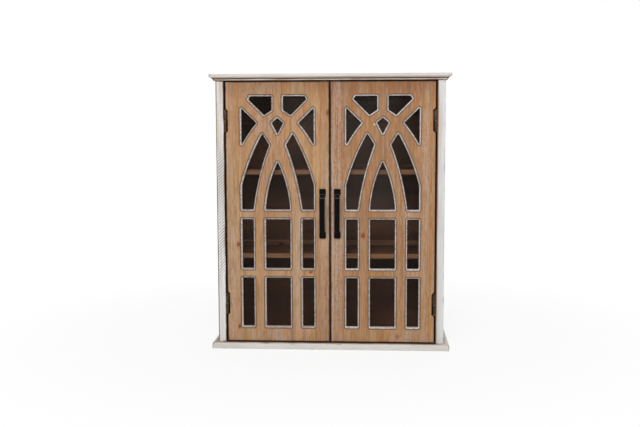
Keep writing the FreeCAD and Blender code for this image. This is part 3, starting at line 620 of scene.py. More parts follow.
class Recipe:
    """One material's node tree, written as sums on its sockets.

    Attributes:
        BUMP: strength of every bump.
        UNEVEN: how uneven the staves' widths are.
    """

    BUMP = 0.6
    UNEVEN = 0.55

    def __init__(self, name: str, specular: float = 0.3) -> None:
        """Makes an empty material with its shader.

        Args:
            name: the material's name.
            specular: level of the plain reflection.
        """
        self.material = bpy.data.materials.new(name)
        self.material.use_nodes = True
        self.tree = self.material.node_tree
        self.tree.nodes.clear()
        self.shader = put(self.tree, "BsdfPrincipled", {"Specular IOR Level": specular})
        put(self.tree, "OutputMaterial", {0: self.shader.outputs[0]})
        self.place = put(self.tree, "TexCoord").outputs["Object"]
        self.across, self.out, self.up = put(self.tree, "SeparateXYZ", {0: self.place}).outputs

    def sum(self, kind: str, *values: Value) -> Socket:
        """One step of arithmetic, by the name of Blender's operation."""
        return put(self.tree, "Math", dict(enumerate(values)), operation=kind).outputs[0]

    def total(self, *values: Value) -> Socket:
        """Adds any number of values."""
        return reduce(partial(self.sum, "ADD"), values)

    def times(self, *values: Value) -> Socket:
        """Multiplies any number of values."""
        return reduce(partial(self.sum, "MULTIPLY"), values)

    def rise(self, value: Value, start: float, end: float, low: float = 0.0, high: float = 1.0) -> Socket:
        """A smooth step from low to high as a value goes from start to end."""
        numbers = (end, start, high, low) if start > end else (start, end, low, high)
        return put(self.tree, "MapRange", dict(enumerate((value, *numbers))),
                   interpolation_type="SMOOTHSTEP").outputs[0]

    def within(self, value: Value, low: float, high: float, soft: float) -> Socket:
        """One between two numbers, zero outside, with soft edges."""
        risen = self.rise(value, low - soft, low + soft)
        return self.times(risen, self.rise(value, high + soft, high - soft))

    def join(self, across: Value, out: Value, up: Value) -> Socket:
        """Places from their three parts."""
        return put(self.tree, "CombineXYZ", {0: across, 1: out, 2: up}).outputs[0]

    def stretch(self, scale: Triple, place: Socket | None = None) -> Socket:
        """Places scaled by a factor along each axis."""
        values = {0: place or self.place, 1: scale}
        return put(self.tree, "VectorMath", values, operation="MULTIPLY").outputs[0]

    def noise(self, scale: Triple, detail: float = 2.0, rough: float = 0.5,
              place: Socket | None = None) -> Socket:
        """A noise with so many features to the metre along each axis."""
        values = {"Vector": self.stretch(scale, place), "Scale": 1.0, "Detail": detail, "Roughness": rough}
        return put(self.tree, "TexNoise", values).outputs[0]

    def staves(self, width: float, feature: str) -> Node:
        """Bands of uneven width across the piece, as glued staves have."""
        values = {"W": self.across, "Scale": 1.0 / width, "Randomness": self.UNEVEN}
        return put(self.tree, "TexVoronoi", values, voronoi_dimensions="1D", feature=feature)

    def mix(self, share: Value, first: Value | Tint, second: Value | Tint, kind: str = "MIX") -> Socket:
        """Goes from the first colour to the second by a share, on the node's colour sockets."""
        values = {0: share, 6: first, 7: second}
        return put(self.tree, "Mix", values, data_type="RGBA", blend_type=kind).outputs[2]

    def lay(self, colour: Socket, value: Value, start: float, end: float, most: float, tint: Tint,
            kind: str = "MIX") -> Socket:
        """Lays a tint over a colour by up to a share, as a value goes from start to end."""
        return self.mix(self.rise(value, start, end, 0.0, most), colour, tint, kind)

    def ramp(self, value: Value, *stops: tuple[float, Tint]) -> Socket:
        """A run of colours along a value.

        Args:
            value: the value.
            stops: places along it and their colours.

        Returns:
            The colour.
        """
        node = put(self.tree, "ValToRGB", {0: value})
        node.color_ramp.interpolation = "B_SPLINE"
        while len(node.color_ramp.elements) < len(stops):
            node.color_ramp.elements.new(1.0)
        for element, (position, tint) in zip(node.color_ramp.elements, stops):
            element.position = position
            element.color = tint.linear
        return node.outputs[0]

    def away(self, knot: "Knot") -> Socket:
        """Distance from a knot as seen from the front, in radii of the knot, with a torn edge.

        Args:
            knot: the knot.

        Returns:
            The distance.
        """
        sideways = self.sum("SUBTRACT", self.across, knot.across)
        upwards = self.times(self.sum("SUBTRACT", self.up, knot.up), knot.squash)
        squares = self.total(self.times(sideways, sideways), self.times(upwards, upwards))
        torn = self.times(self.sum("SUBTRACT", self.noise((330.0, 330.0, 330.0), 2.0), 0.5), 1.3)
        return self.sum("ADD", self.sum("DIVIDE", self.sum("SQRT", squares), knot.radius), torn)

    def worn(self, name: str) -> Socket:
        """A number that the mesh carries under a name."""
        return put(self.tree, "Attribute", attribute_name=name).outputs["Fac"]

    def finish(self, colour: Value, rough: Value, height: Socket, depth: float,
               **constants: float) -> Material:
        """Sets the shader and gives back the material.

        Args:
            colour: base colour.
            rough: roughness.
            height: what the bump follows.
            depth: depth of the bump, in metres.
            constants: further sockets of the shader, by name.

        Returns:
            The material.
        """
        bump = put(self.tree, "Bump", {"Strength": self.BUMP, "Distance": depth, "Height": height})
        values = {"Base Color": colour, "Roughness": rough, "Normal": bump.outputs[0], **constants}
        for name, value in values.items():
            feed(self.tree, self.shader.inputs[name], value)
        return self.material


class Kind(Enum):
    """How a knot looks: dark right through, a ring, or a pale scar."""

    TIGHT = "tight"
    RING = "ring"
    SCAR = "scar"


@dataclass(frozen=True)
class Knot:
    """A knot in a door: its place across and up, its radius, how dark it is and how it looks."""

    across: float
    up: float
    radius: float
    strength: float
    kind: Kind = Kind.TIGHT
    squash: float = 0.8


@dataclass(frozen=True)
class Wash:
    """A patch of whitewash on a door: its reach across and up, and how thick it is."""

    across: Pair
    up: Pair
    amount: float


@dataclass(frozen=True)
class LimedPine:
    """Brushed softwood with upright grain, knots and whitewash left in the grain.

    The grain runs from heart through middle to pale, with amber and rosy stripes. Ruddy, blush,
    sallow and shadow multiply the wood, shadow being a painted shadow under the crown; lime and
    scar cover it, and joint, knot, halo and grime darken it, the last being grime
    on the door's edges and painted shade of the gaps round the door.

    Attributes:
        stave_width: mean width of a glued stave.
        span: place across of a door's inner and outer edge, without its side's sign.
        rise: height of a door's lower and upper edge.
        beside: how much further out the right door's outer edge is clean.
        soft_across: softness of a patch's edges, across.
        soft_up: the same, up.
        knots: the knots of both doors.
        washes: thicker whitewash.
        paler: patches of paler wood.
        darker: patches of redder wood.
    """

    heart: Tint = Tint(133, 95, 60)
    middle: Tint = Tint(176, 139, 97)
    pale: Tint = Tint(196, 163, 121)
    ruddy: Tint = Tint(222, 199, 175)
    lime: Tint = Tint(181, 159, 144)
    scar: Tint = Tint(208, 182, 158)
    amber: Tint = Tint(187, 132, 70)
    rosy: Tint = Tint(172, 145, 125)
    blush: Tint = Tint(255, 243, 239)
    sallow: Tint = Tint(247, 255, 246)
    joint: Tint = Tint(133, 95, 64)
    knot: Tint = Tint(96, 48, 26)
    halo: Tint = Tint(166, 96, 52)
    shadow: Tint = Tint(223, 216, 212)
    grime: Tint = Tint(48, 28, 18)
    stave_width: float = 0.044
    span: Pair = (0.0015, 0.262)
    rise: Pair = (0.0167, 0.6745)
    beside: float = 0.0048
    soft_across: float = 0.004
    soft_up: float = 0.02
    knots: tuple[Knot, ...] = (
        Knot(-0.232, 0.266, 0.0046, 1.0, Kind.RING), Knot(-0.2315, 0.055, 0.0034, 0.85, squash=0.55),
        Knot(-0.049, 0.196, 0.0062, 0.85, squash=2.2), Knot(-0.005, 0.597, 0.0060, 0.7),
        Knot(0.083, 0.290, 0.0058, 0.9, Kind.RING), Knot(0.170, 0.032, 0.0060, 0.42),
        Knot(0.1115, 0.5675, 0.0048, 0.9, Kind.SCAR, 1.5),
    )
    washes: tuple[Wash, ...] = (
        Wash((0.000, 0.029), (-0.1, 0.8), 0.36), Wash((0.234, 0.246), (-0.1, 0.8), 0.36),
        Wash((-0.270, -0.246), (-0.1, 0.8), 0.3), Wash((-0.2, -0.1), (0.0, 0.042), 0.5),
        Wash((0.186, 0.206), (-0.1, 0.4), 0.4), Wash((-0.086, -0.072), (-0.1, 0.36), 0.45),
        Wash((0.150, 0.190), (0.0, 0.036), 0.55), Wash((-0.252, -0.236), (-0.1, 0.3), 0.4),
    )
    paler: tuple[Wash, ...] = (
        Wash((-0.262, -0.228), (-0.1, 0.8), 0.15), Wash((-0.196, -0.160), (0.17, 0.32), 0.6),
        Wash((0.000, 0.262), (0.0, 0.050), 0.2), Wash((0.030, 0.240), (0.31, 0.34), 0.16),
    )
    darker: tuple[Wash, ...] = (
        Wash((-0.040, -0.001), (0.0, 0.25), 0.6), Wash((0.158, 0.198), (0.17, 0.32), 0.3),
    )

    def spread(self, tree: Recipe, patches: tuple[Wash, ...]) -> list[Socket]:
        """How thick each patch lies, with soft edges."""
        return [tree.times(tree.within(tree.across, *patch.across, self.soft_across),
                           tree.within(tree.up, *patch.up, self.soft_up), patch.amount)
                for patch in patches]

    def knotted(self, tree: Recipe) -> tuple[list[Socket], list[Socket], list[Socket], Socket]:
        """Where the knots lie, and how far they push the grain aside.

        Args:
            tree: the material's nodes.

        Returns:
            Shares of the knots' middles, of the wood round them and of the scars, and the push across.
        """
        cores, halos, scars = [], [], []
        bend = tree.times(tree.noise((3.0, 3.0, 1.3), 2.0), 0.014)
        for knot in self.knots:
            distance = tree.away(knot)
            core = tree.rise(distance, 1.1, 0.6, 0.0, knot.strength)
            if knot.kind is Kind.SCAR:
                scars.append(core)
                cores.append(tree.rise(distance, 1.45, 1.1, 0.0, 0.4))
                continue
            if knot.kind is Kind.RING:
                core = tree.times(core, tree.rise(distance, 0.1, 0.8, 0.6, 1.0))
            cores.append(core)
            halos.append(tree.rise(distance, 2.8, 0.6, 0.0, knot.strength))
            bend = tree.total(bend, tree.times(halos[-1], 2.2 * knot.radius))
        return cores, halos, scars, bend

    def grained(self, tree: Recipe, bent: Socket, rings: Socket, fibre: Socket) -> Socket:
        """Bare wood: late and early wood, then stripes and streaks of other hues.

        Args:
            tree: the material's nodes.
            bent: places pushed aside by the knots.
            rings: the broad grain.
            fibre: the fine grain.

        Returns:
            The colour.
        """
        grain = tree.total(tree.times(rings, 0.62), tree.times(fibre, 0.38))
        wood = tree.ramp(grain, (0.34, self.heart), (0.45, self.middle), (0.56, self.pale),
                         (0.72, self.middle))
        wood = tree.lay(wood, fibre, 0.50, 0.66, 0.5, self.heart)
        wood = tree.lay(wood, fibre, 0.48, 0.34, 0.4, self.pale)
        stripe = tree.noise((150.0, 150.0, 2.4), 3.0, 0.6, bent)
        wood = tree.lay(wood, stripe, 0.48, 0.62, 0.7, self.amber)
        wood = tree.lay(wood, stripe, 0.48, 0.36, 0.65, self.rosy)
        hue = tree.noise((75.0, 75.0, 10.0), 3.0, 0.6, bent)
        wood = tree.lay(wood, hue, 0.48, 0.62, 0.9, self.blush, "MULTIPLY")
        wood = tree.lay(wood, hue, 0.48, 0.34, 0.9, self.sallow, "MULTIPLY")
        wood = tree.mix(tree.total(*self.spread(tree, self.paler)), wood, self.pale)
        cloud = tree.noise((9.0, 9.0, 2.6), 2.0)
        return tree.lay(wood, cloud, 0.42, 0.66, 0.5, self.ruddy, "MULTIPLY")

    def staved(self, tree: Recipe, wood: Socket) -> Socket:
        """Glued staves, each of its own tone, a redder right door, and the glue lines.

        Args:
            tree: the material's nodes.
            wood: the colour so far.

        Returns:
            The colour.
        """
        tones = tree.staves(self.stave_width, "F1").outputs["Color"]
        right_door = tree.rise(tree.across, -0.0005, 0.0005)
        panel = tree.times(right_door, tree.rise(tree.up, 0.05, 0.5, 0.27, 0.58))
        redder = tree.total(tree.times(tones, 0.35), panel, *self.spread(tree, self.darker))
        wood = tree.mix(redder, wood, self.ruddy, "MULTIPLY")
        edge = tree.staves(self.stave_width, "DISTANCE_TO_EDGE").outputs["Distance"]
        return tree.lay(wood, edge, 0.022, 0.006, 0.3, self.joint)

    def limed(self, tree: Recipe, wood: Socket) -> Socket:
        """Whitewash left in the grain, in streaks and stipple, and short dashes of both tones.

        Args:
            tree: the material's nodes.
            wood: the colour so far.

        Returns:
            The colour.
        """
        streak = tree.noise((230.0, 230.0, 3.2), 4.0, 0.62)
        patch = tree.rise(tree.noise((17.0, 17.0, 1.9), 2.0), 0.48, 0.70, 0.0, 0.36)
        laid = [patch, *self.spread(tree, self.washes)]
        stipple = tree.noise((520.0, 520.0, 210.0), 3.0, 0.6)
        held = tree.total(tree.times(streak, 0.5), tree.times(stipple, 0.5))
        lime = tree.times(tree.total(0.06, *laid), tree.rise(held, 0.42, 0.58, 0.0, 1.2))
        wood = tree.mix(tree.sum("MINIMUM", lime, 0.85), wood, self.lime)
        dots = tree.noise((300.0, 300.0, 34.0), 3.0, 0.6)
        wood = tree.lay(wood, dots, 0.50, 0.68, 0.55, self.joint)
        return tree.lay(wood, dots, 0.46, 0.32, 0.4, self.lime)

    def edged(self, tree: Recipe, wood: Socket) -> Socket:
        """Painted shadow under the crown, and edges darkened by grime and by painted shade of the gaps.

        Args:
            tree: the material's nodes.
            wood: the colour so far.

        Returns:
            The colour.
        """
        # Painted shadow of the crown: the wood darkens over the door's top 55 mm.
        below = tree.sum("SUBTRACT", self.rise[1], tree.up)
        wood = tree.lay(wood, below, 0.055, 0.0, 0.95, self.shadow, "MULTIPLY")
        reach = tree.sum("ABSOLUTE", tree.across)
        outer = tree.rise(tree.across, 0.1, 0.2, self.span[1], self.span[1] + self.beside)
        nearest = below
        for distance in (tree.sum("SUBTRACT", reach, self.span[0]), tree.sum("SUBTRACT", outer, reach),
                         tree.sum("SUBTRACT", tree.up, self.rise[0])):
            nearest = tree.sum("MINIMUM", nearest, distance)
        # Grime on the rubbed edges and painted shade of the gaps round the door, over the outer 3.4 mm.
        ragged = tree.times(tree.sum("SUBTRACT", tree.noise((150.0, 150.0, 60.0), 3.0), 0.5), 0.004)
        rubbed = tree.rise(tree.sum("ADD", nearest, ragged), 0.0034, 0.0008, 0.0, 0.85)
        return tree.mix(rubbed, wood, self.grime)

    def build(self) -> Material:
        """Makes the material: grain bent round the knots, staves, whitewash, knots and edges.

        Returns:
            The material.
        """
        tree = Recipe("limed_pine")
        cores, halos, scars, bend = self.knotted(tree)
        bent = tree.join(tree.sum("ADD", tree.across, bend), tree.out, tree.up)
        rings = tree.noise((85.0, 85.0, 1.7), 4.0, 0.55, bent)
        fibre = tree.noise((420.0, 420.0, 5.0), 3.0, 0.6, bent)
        pore = tree.noise((1500.0, 1500.0, 34.0), 2.0, 0.5, bent)
        wood = self.limed(tree, self.staved(tree, self.grained(tree, bent, rings, fibre)))
        wood = tree.lay(wood, pore, 0.46, 0.32, 0.4, self.joint)
        wood = tree.mix(tree.sum("MINIMUM", tree.times(tree.total(*halos), 0.55), 0.8), wood, self.halo)
        wood = tree.mix(tree.sum("MINIMUM", tree.total(*cores), 1.0), wood, self.knot)
        wood = self.edged(tree, tree.mix(tree.total(*scars), wood, self.scar))
        height = tree.total(tree.times(rings, 0.4), tree.times(fibre, 0.5), tree.times(pore, 0.25))
        return tree.finish(wood, tree.rise(fibre, 0.3, 0.7, 0.72, 0.56), height, 0.0005)


@dataclass(frozen=True)
class Room:
    """The inside of the case: half its width, its front plane, its floor and its ceiling."""

    half: float
    front: float
    floor: float
    ceiling: float


@dataclass(frozen=True)
class WornPaint:
    """Off-white paint over wood, worn through along the arrises, with the inside left stained, and painted
    shade in the gaps, in the crown's cove and towards the top.

    Attributes:
        name: the material's name.
        run: which way the board is long.
        room: the inside of the case.
        hatch: strength of the diagonal saw marks.
        rubbed: how far the arrises are worn through.
        hatch_reach: lowest and highest place of the saw marks.
        hatch_depth: how far behind the room's front the saw marks start to fade, and end.
        hatch_pitch: distance between saw marks.
        paint: fresh paint.
        shade: darker paint.
        aged: paint that has aged, darker towards the top partly as painted shade.
        thin: paint that the wood shows through.
        bare: wood on the worn arrises.
        raw: dark wood at the right side's worn edge, and painted shade in the crown's cove line and on its
            underside.
        stain: stain of the inside, also laid ahead of the doors as painted shade.
        stain_late: the same, on the late wood.
        speck: specks in the paint.
        saw: saw marks.
        yellowed: how far the paint is aged, and darkened as painted shade, towards the top.
    """

    name: str
    run: Run
    room: Room
    hatch: float = 0.0
    rubbed: float = 0.46
    hatch_reach: Pair = (0.165, 0.51)
    hatch_depth: Pair = (0.0065, 0.0095)
    hatch_pitch: float = 0.0079
    paint: Tint = Tint(221, 217, 212)
    shade: Tint = Tint(209, 205, 199)
    aged: Tint = Tint(184, 169, 157)
    thin: Tint = Tint(192, 174, 158)
    bare: Tint = Tint(112, 84, 62)
    raw: Tint = Tint(56, 38, 27)
    stain: Tint = Tint(98, 67, 47)
    stain_late: Tint = Tint(70, 47, 33)
    speck: Tint = Tint(110, 92, 78)
    saw: Tint = Tint(104, 98, 93)
    yellowed: float = 0.3

    def build(self) -> Material:
        """Makes the material: paint, saw marks, thin paint by tone, wear by arris, stain inside.

        Returns:
            The material.
        """
        tree = Recipe(self.name)
        half, front = self.room.half, self.room.front
        lengths = np.array([1.0, 1.0, 1.0])
        lengths[self.run.value[2]] = 0.035
        brushed = tree.noise(tuple(lengths * 520.0), 4.0, 0.6)
        cloud = tree.noise(tuple(lengths ** 0.4 * 30.0), 3.0)
        colour = tree.mix(tree.rise(cloud, 0.38, 0.68), self.paint, self.shade)
        colour = tree.lay(colour, brushed, 0.50, 0.72, 0.45, self.shade)
        # Aged paint towards the top, darker there partly as painted shade.
        streak = tree.noise(tuple(lengths * 150.0), 3.0, 0.6)
        streaky = tree.rise(streak, 0.36, 0.64, 0.35, 1.0)
        aged = tree.times(streaky, tree.rise(tree.up, 0.1, 0.68, 0.0, self.yellowed))
        colour = tree.mix(aged, colour, self.aged)
        slope = tree.sum("SUBTRACT", tree.up, tree.across)
        turns = tree.times(slope, 2.0 * math.pi / self.hatch_pitch)
        waves = tree.sum("SINE", tree.total(turns, tree.times(cloud, 3.0)))
        fading, ended = (front + depth for depth in self.hatch_depth)
        marks = tree.times(tree.rise(waves, 0.0, 0.8), tree.rise(cloud, 0.28, 0.44), self.hatch,
                           tree.within(tree.up, *self.hatch_reach, 0.05),
                           tree.rise(tree.out, ended, fading))
        colour = tree.mix(marks, colour, self.saw)
        grain = tree.noise(tuple(lengths * 240.0), 4.0, 0.6)
        thin = tree.mix(tree.rise(grain, 0.35, 0.66), self.thin, self.shade)
        # The tone thins and wears the paint; in the crown's cove and on its underside it is partly painted
        # shade.
        tone = tree.worn("tone")
        colour = tree.mix(tree.sum("MINIMUM", tree.times(tone, 0.9), 0.9), colour, thin)
        chip = tree.noise(tuple(lengths ** 0.6 * 150.0), 5.0, 0.65)
        thinned = tree.rise(tone, 1.0, 2.0, 0.0, 0.55)
        laid = tree.total(tree.times(tree.worn("arris"), self.rubbed), thinned, chip)
        wear = tree.rise(laid, 0.80, 0.98)
        colour = tree.mix(tree.times(wear, 0.9), colour, self.bare)
        colour = tree.mix(tree.rise(tone, 2.6, 3.3), colour, self.raw)
        dots = tree.noise((420.0, 420.0, 420.0), 1.0)
        colour = tree.lay(colour, dots, 0.735, 0.79, 0.7, self.speck)
        # The stain inside, reaching onto the base's top and the crown's underside ahead of the doors as
        # painted shade of the gaps.
        sides = tree.rise(tree.sum("ABSOLUTE", tree.across), half + 0.0006, half + 0.0002)
        depth = tree.rise(tree.out, front - 0.0008, front + 0.0008)
        tall = tree.within(tree.up, self.room.floor - 0.0004, self.room.ceiling + 0.0004, 0.0002)
        inside = tree.times(sides, depth, tall)
        brown = tree.mix(tree.rise(grain, 0.36, 0.64), self.stain, self.stain_late)
        colour = tree.mix(inside, colour, brown)
        height = tree.total(tree.times(brushed, 0.5), tree.times(chip, 0.25), tree.times(wear, -0.6),
                            tree.times(marks, -0.8))
        return tree.finish(colour, tree.rise(brushed, 0.3, 0.7, 0.5, 0.68), height, 0.0004)


@dataclass(frozen=True)
class RimPaint:
    """White paint on the bevels of the lights, with a dark line along its outer edge.

    Attributes:
        wood: the door's wood at the outer edge.
        glaze: the dark line, also in the chips.
        paint: clean paint.
        dust: dusty paint, also laid on the sills as painted shade.
    """

    wood: Tint = Tint(150, 116, 88)
    glaze: Tint = Tint(102, 78, 62)
    paint: Tint = Tint(234, 230, 226)
    dust: Tint = Tint(150, 131, 120)

    def build(self) -> Material:
        """Makes the material from the mesh's place across the rim and a fine stipple.

        Returns:
            The material.
        """
        tree = Recipe("rim_paint")
        across = tree.worn("across")
        ragged = tree.noise((240.0, 240.0, 240.0), 4.0, 0.7)
        fine = tree.noise((310.0, 310.0, 310.0), 3.0, 0.6)
        shifted = tree.total(across, tree.times(tree.sum("SUBTRACT", ragged, 0.5), 0.32))
        colour = tree.ramp(shifted, (0.0, self.wood), (0.04, self.glaze), (0.18, self.glaze),
                           (0.23, self.dust), (0.29, self.paint), (1.0, self.paint))
        cover = tree.times(tree.rise(fine, 0.48, 0.58), tree.rise(tree.across, -0.001, 0.001, 1.0, 0.84))
        # Dust, and painted shade of the bevels that face up, on the sills: more on the left door.
        sill_dirt_and_shade = tree.rise(tree.across, -0.001, 0.001, 0.45, 0.05)
        cover = tree.sum("MINIMUM", tree.total(cover, tree.times(tree.worn("tone"), sill_dirt_and_shade)), 1.0)
        colour = tree.mix(tree.times(cover, tree.rise(across, 0.14, 0.22)), colour, self.dust)
        chips = tree.rise(tree.noise((120.0, 120.0, 120.0), 4.0, 0.65), 0.66, 0.72, 0.0, 0.8)
        colour = tree.mix(chips, colour, self.glaze)
        return tree.finish(colour, 0.62, tree.total(fine, tree.times(chips, -0.8)), 0.0003)


@dataclass(frozen=True)
class StainedWood:
    """Dark stained softwood of the inside, with edges painted paler as painted light where the mesh says so.

    Attributes:
        name: the material's name.
        run: which way its grain runs.
        dark: tone of the late wood.
        warm: tone of the early wood.
        edge: tone of the paler edges, painted light on the shelves' fronts.
        bands: paler bands: lowest and highest place up, and how strong they are.
        face: front plane of the piece, on which bands and knots lie.
        knots: dark knots.
        core: tone of the knots.
    """

    name: str
    run: Run
    dark: Tint = Tint(80, 53, 38)
    warm: Tint = Tint(114, 79, 57)
    edge: Tint = Tint(150, 110, 79)
    bands: tuple[Triple, ...] = ()
    face: float = 0.0
    knots: tuple[Knot, ...] = ()
    core: Tint = Tint(34, 20, 14)

    def build(self) -> Material:
        """Makes the material: long grain, soft clouds, paler bands, and edges painted paler as painted
        light.

        Returns:
            The material.
        """
        tree = Recipe(self.name, 0.08)
        lengths = np.array([1.0, 1.0, 1.0])
        lengths[self.run.value[2]] = 0.03
        rings = tree.noise(tuple(lengths * 110.0), 4.0, 0.6)
        fibre = tree.noise(tuple(lengths * 620.0), 3.0, 0.6)
        cloud = tree.noise((7.0, 7.0, 9.0), 2.0)
        grain = tree.total(tree.times(rings, 0.30), tree.times(fibre, 0.15), tree.times(cloud, 0.55))
        colour = tree.mix(tree.rise(grain, 0.38, 0.62), self.dark, self.warm)
        pale = tree.mix(tree.rise(rings, 0.36, 0.64), self.edge, self.warm)
        ahead = tree.rise(tree.out, self.face + 0.0009, self.face + 0.0004)
        shares = [tree.times(tree.within(tree.up, low, high, 0.0008), amount, ahead)
                  for low, high, amount in self.bands]
        # The tone paints the shelves' front edges paler, as painted light.
        colour = tree.mix(tree.total(tree.times(tree.worn("tone"), 0.85), *shares), colour, pale)
        for knot in self.knots:
            spot = tree.times(tree.rise(tree.away(knot), 1.0, 0.7, 0.0, knot.strength), ahead)
            colour = tree.mix(spot, colour, self.core)
        height = tree.total(tree.times(rings, 0.5), tree.times(fibre, 0.5))
        return tree.finish(colour, tree.rise(fibre, 0.3, 0.7, 0.6, 0.48), height, 0.0004)


@dataclass(frozen=True)
class Metal:
    """A metal or coated surface with clouds, fine pits and rubbed arrises.

    Attributes:
        name: the material's name.
        base: main colour.
        cloud: colour of the clouds.
        metallic: how much it is bare metal.
        rough: roughness.
        pitch: pits to the metre.
        depth: depth of the pits.
        specular: level of the plain reflection.
    """

    name: str
    base: Tint
    cloud: Tint
    metallic: float = 1.0
    rough: float = 0.4
    pitch: float = 900.0
    depth: float = 0.0001
    specular: float = 0.5

    def build(self) -> Material:
        """Makes the material.

        Returns:
            The material.
        """
        tree = Recipe(self.name, self.specular)
        pits = tree.noise((self.pitch, self.pitch, self.pitch), 2.0, 0.55)
        cloud = tree.noise((95.0, 95.0, 60.0), 4.0, 0.6)
        colour = tree.mix(tree.rise(cloud, 0.36, 0.68), self.base, self.cloud)
        rough = tree.rise(tree.total(tree.times(cloud, 0.6), tree.times(pits, 0.4)), 0.35, 0.65,
                          self.rough - 0.07, self.rough + 0.1)
        return tree.finish(colour, rough, pits, self.depth, Metallic=self.metallic)


@dataclass(frozen=True)
class PaneGlass:
    """Clear glass with the faint waves of a rolled sheet, and a painted reflection.

    Attributes:
        tint: the film's colour.
        cloud: colour of its smears.
        dust: colour of the painted reflection, a pale haze.
        alpha: how far the film covers what is behind.
        index: index of refraction.
        bloom_across: where the painted reflection starts and ends, across.
        bloom_up: the same, up.
    """

    tint: Tint = Tint(36, 29, 24)
    cloud: Tint = Tint(53, 46, 41)
    dust: Tint = Tint(112, 103, 95)
    alpha: float = 0.08
    index: float = 1.5
    bloom_across: Pair = (-0.12, 0.17)
    bloom_up: Pair = (0.33, 0.64)

    def build(self) -> Material:
        """Makes the material: a thin see-through film with a polished face.

        Returns:
            The material.
        """
        tree = Recipe("pane_glass", 0.5)
        waves = tree.noise((5.0, 5.0, 7.0), 2.0)
        smear = tree.noise((36.0, 36.0, 12.0), 4.0, 0.6)
        colour = tree.mix(tree.rise(smear, 0.4, 0.7, 0.0, 0.5), self.tint, self.cloud)
        # A painted reflection: a pale haze laid over part of the lights.
        painted_reflection = tree.times(tree.within(tree.across, *self.bloom_across, 0.04),
                           tree.within(tree.up, *self.bloom_up, 0.05),
                           tree.rise(tree.noise((4.0, 4.0, 3.0), 2.0), 0.3, 0.6, 0.35, 1.0))
        colour = tree.mix(painted_reflection, colour, self.dust)
        rough = tree.rise(smear, 0.4, 0.75, 0.0, 0.03)
        return tree.finish(colour, rough, waves, 0.0004, Alpha=self.alpha, IOR=self.index)


@dataclass(frozen=True)
class Finishes:
    """The materials of the whole cabinet, by what they dress."""

    pine: Material
    rim: Material
    left_side: Material
    right_side: Material
    board: Material
    shelf: Material
    back: Material
    bead: Material
    glass: Material
    iron: Material
    bronze: Material
    brass: Material
    steel: Material
    plastic: Material
    ferrite: Material


def make_finishes() -> Finishes:
    """Makes every material once.

    Returns:
        The set of materials.
    """
    left_low, left_high = box_of("side_panel_left")
    rear = box_of("left_door_panel")[1][1]
    # The room's front lies ahead of the doors' faces, so the stain there is painted shade.
    room = Room(-left_high[0], rear - STAIN_AND_SHADE_AHEAD, left_low[2], left_high[2])
    upper_top, lower_top = (box_of(f"{level.value}_shelf")[1][2] for level in Level)
    bands = ((lower_top, lower_top + 0.0135, 0.9), (upper_top, upper_top + 0.005, 0.6))
    back_knot = Knot(-0.143, lower_top, 0.0085, 0.8, squash=1.2)
    return Finishes(
        pine=LimedPine().build(),
        rim=RimPaint().build(),
        left_side=WornPaint("painted_left_side", Run.Z, room, hatch=0.88, paint=Tint(232, 232, 231),
                            shade=Tint(222, 222, 221), yellowed=0.95).build(),
        right_side=WornPaint("painted_right_side", Run.Z, room, hatch=0.1, rubbed=0.34,
                             paint=Tint(217, 218, 218), shade=Tint(204, 204, 204),
                             thin=Tint(180, 144, 114), yellowed=0.28).build(),
        board=WornPaint("painted_boards", Run.X, room).build(),
        shelf=StainedWood("stained_shelf", Run.X).build(),
        back=StainedWood("stained_back", Run.X, Tint(78, 50, 35), Tint(103, 69, 48), bands=bands,
                         face=box_of("back_panel")[0][1], knots=(back_knot,)).build(),
        bead=StainedWood("stained_bead", Run.Z).build(),
        glass=PaneGlass().build(),
        iron=Metal("black_iron", Tint(1, 1, 1), Tint(3, 3, 3), metallic=0.0, rough=0.13, pitch=700.0,
                   depth=0.00003, specular=0.085).build(),
        bronze=Metal("aged_bronze", Tint(74, 56, 40), Tint(45, 33, 23), metallic=0.7, rough=0.44,
                     depth=0.00012).build(),
        brass=Metal("dull_brass", Tint(150, 120, 68), Tint(120, 92, 50), rough=0.38).build(),
        steel=Metal("zinc_steel", Tint(186, 186, 184), Tint(158, 160, 160), rough=0.32, pitch=1400.0,
                    depth=0.00006).build(),
        plastic=Metal("brown_plastic", Tint(58, 42, 32), Tint(50, 36, 28), metallic=0.0, rough=0.5,
                      pitch=1600.0, depth=0.00008, specular=0.4).build(),
        ferrite=Metal("ferrite", Tint(52, 52, 54), Tint(42, 42, 44), metallic=0.0, rough=0.6,
                      pitch=1300.0, specular=0.4).build(),
    )


# The case


@dataclass(frozen=True)
class EdgeWear:
    """Paint that is thinnest along one upright edge.

    Attributes:
        across: the edge's place across.
        out: the edge's place out from the wall.
        most: the finish's tone at the edge.
        reach: how far the wear reaches.
    """

    across: float
    out: float
    most: float
    reach: float

    def __call__(self, points: Array) -> Array:
        """The tone of each place: it falls with the distance from the edge, in a straight line."""
        distance = np.hypot(points[..., 0] - self.across, points[..., 1] - self.out)
        return self.most * np.clip(1.0 - distance / self.reach, 0.0, 1.0)


@dataclass(frozen=True)
class FrontEdge:
    """Painted light: paler wood on a shelf's front edge, ahead of a plane."""

    plane: float

    def __call__(self, points: Array) -> Array:
        """The tone of each place: one ahead of the plane and zero behind it."""
        return (points[..., 1] < self.plane).astype(float)


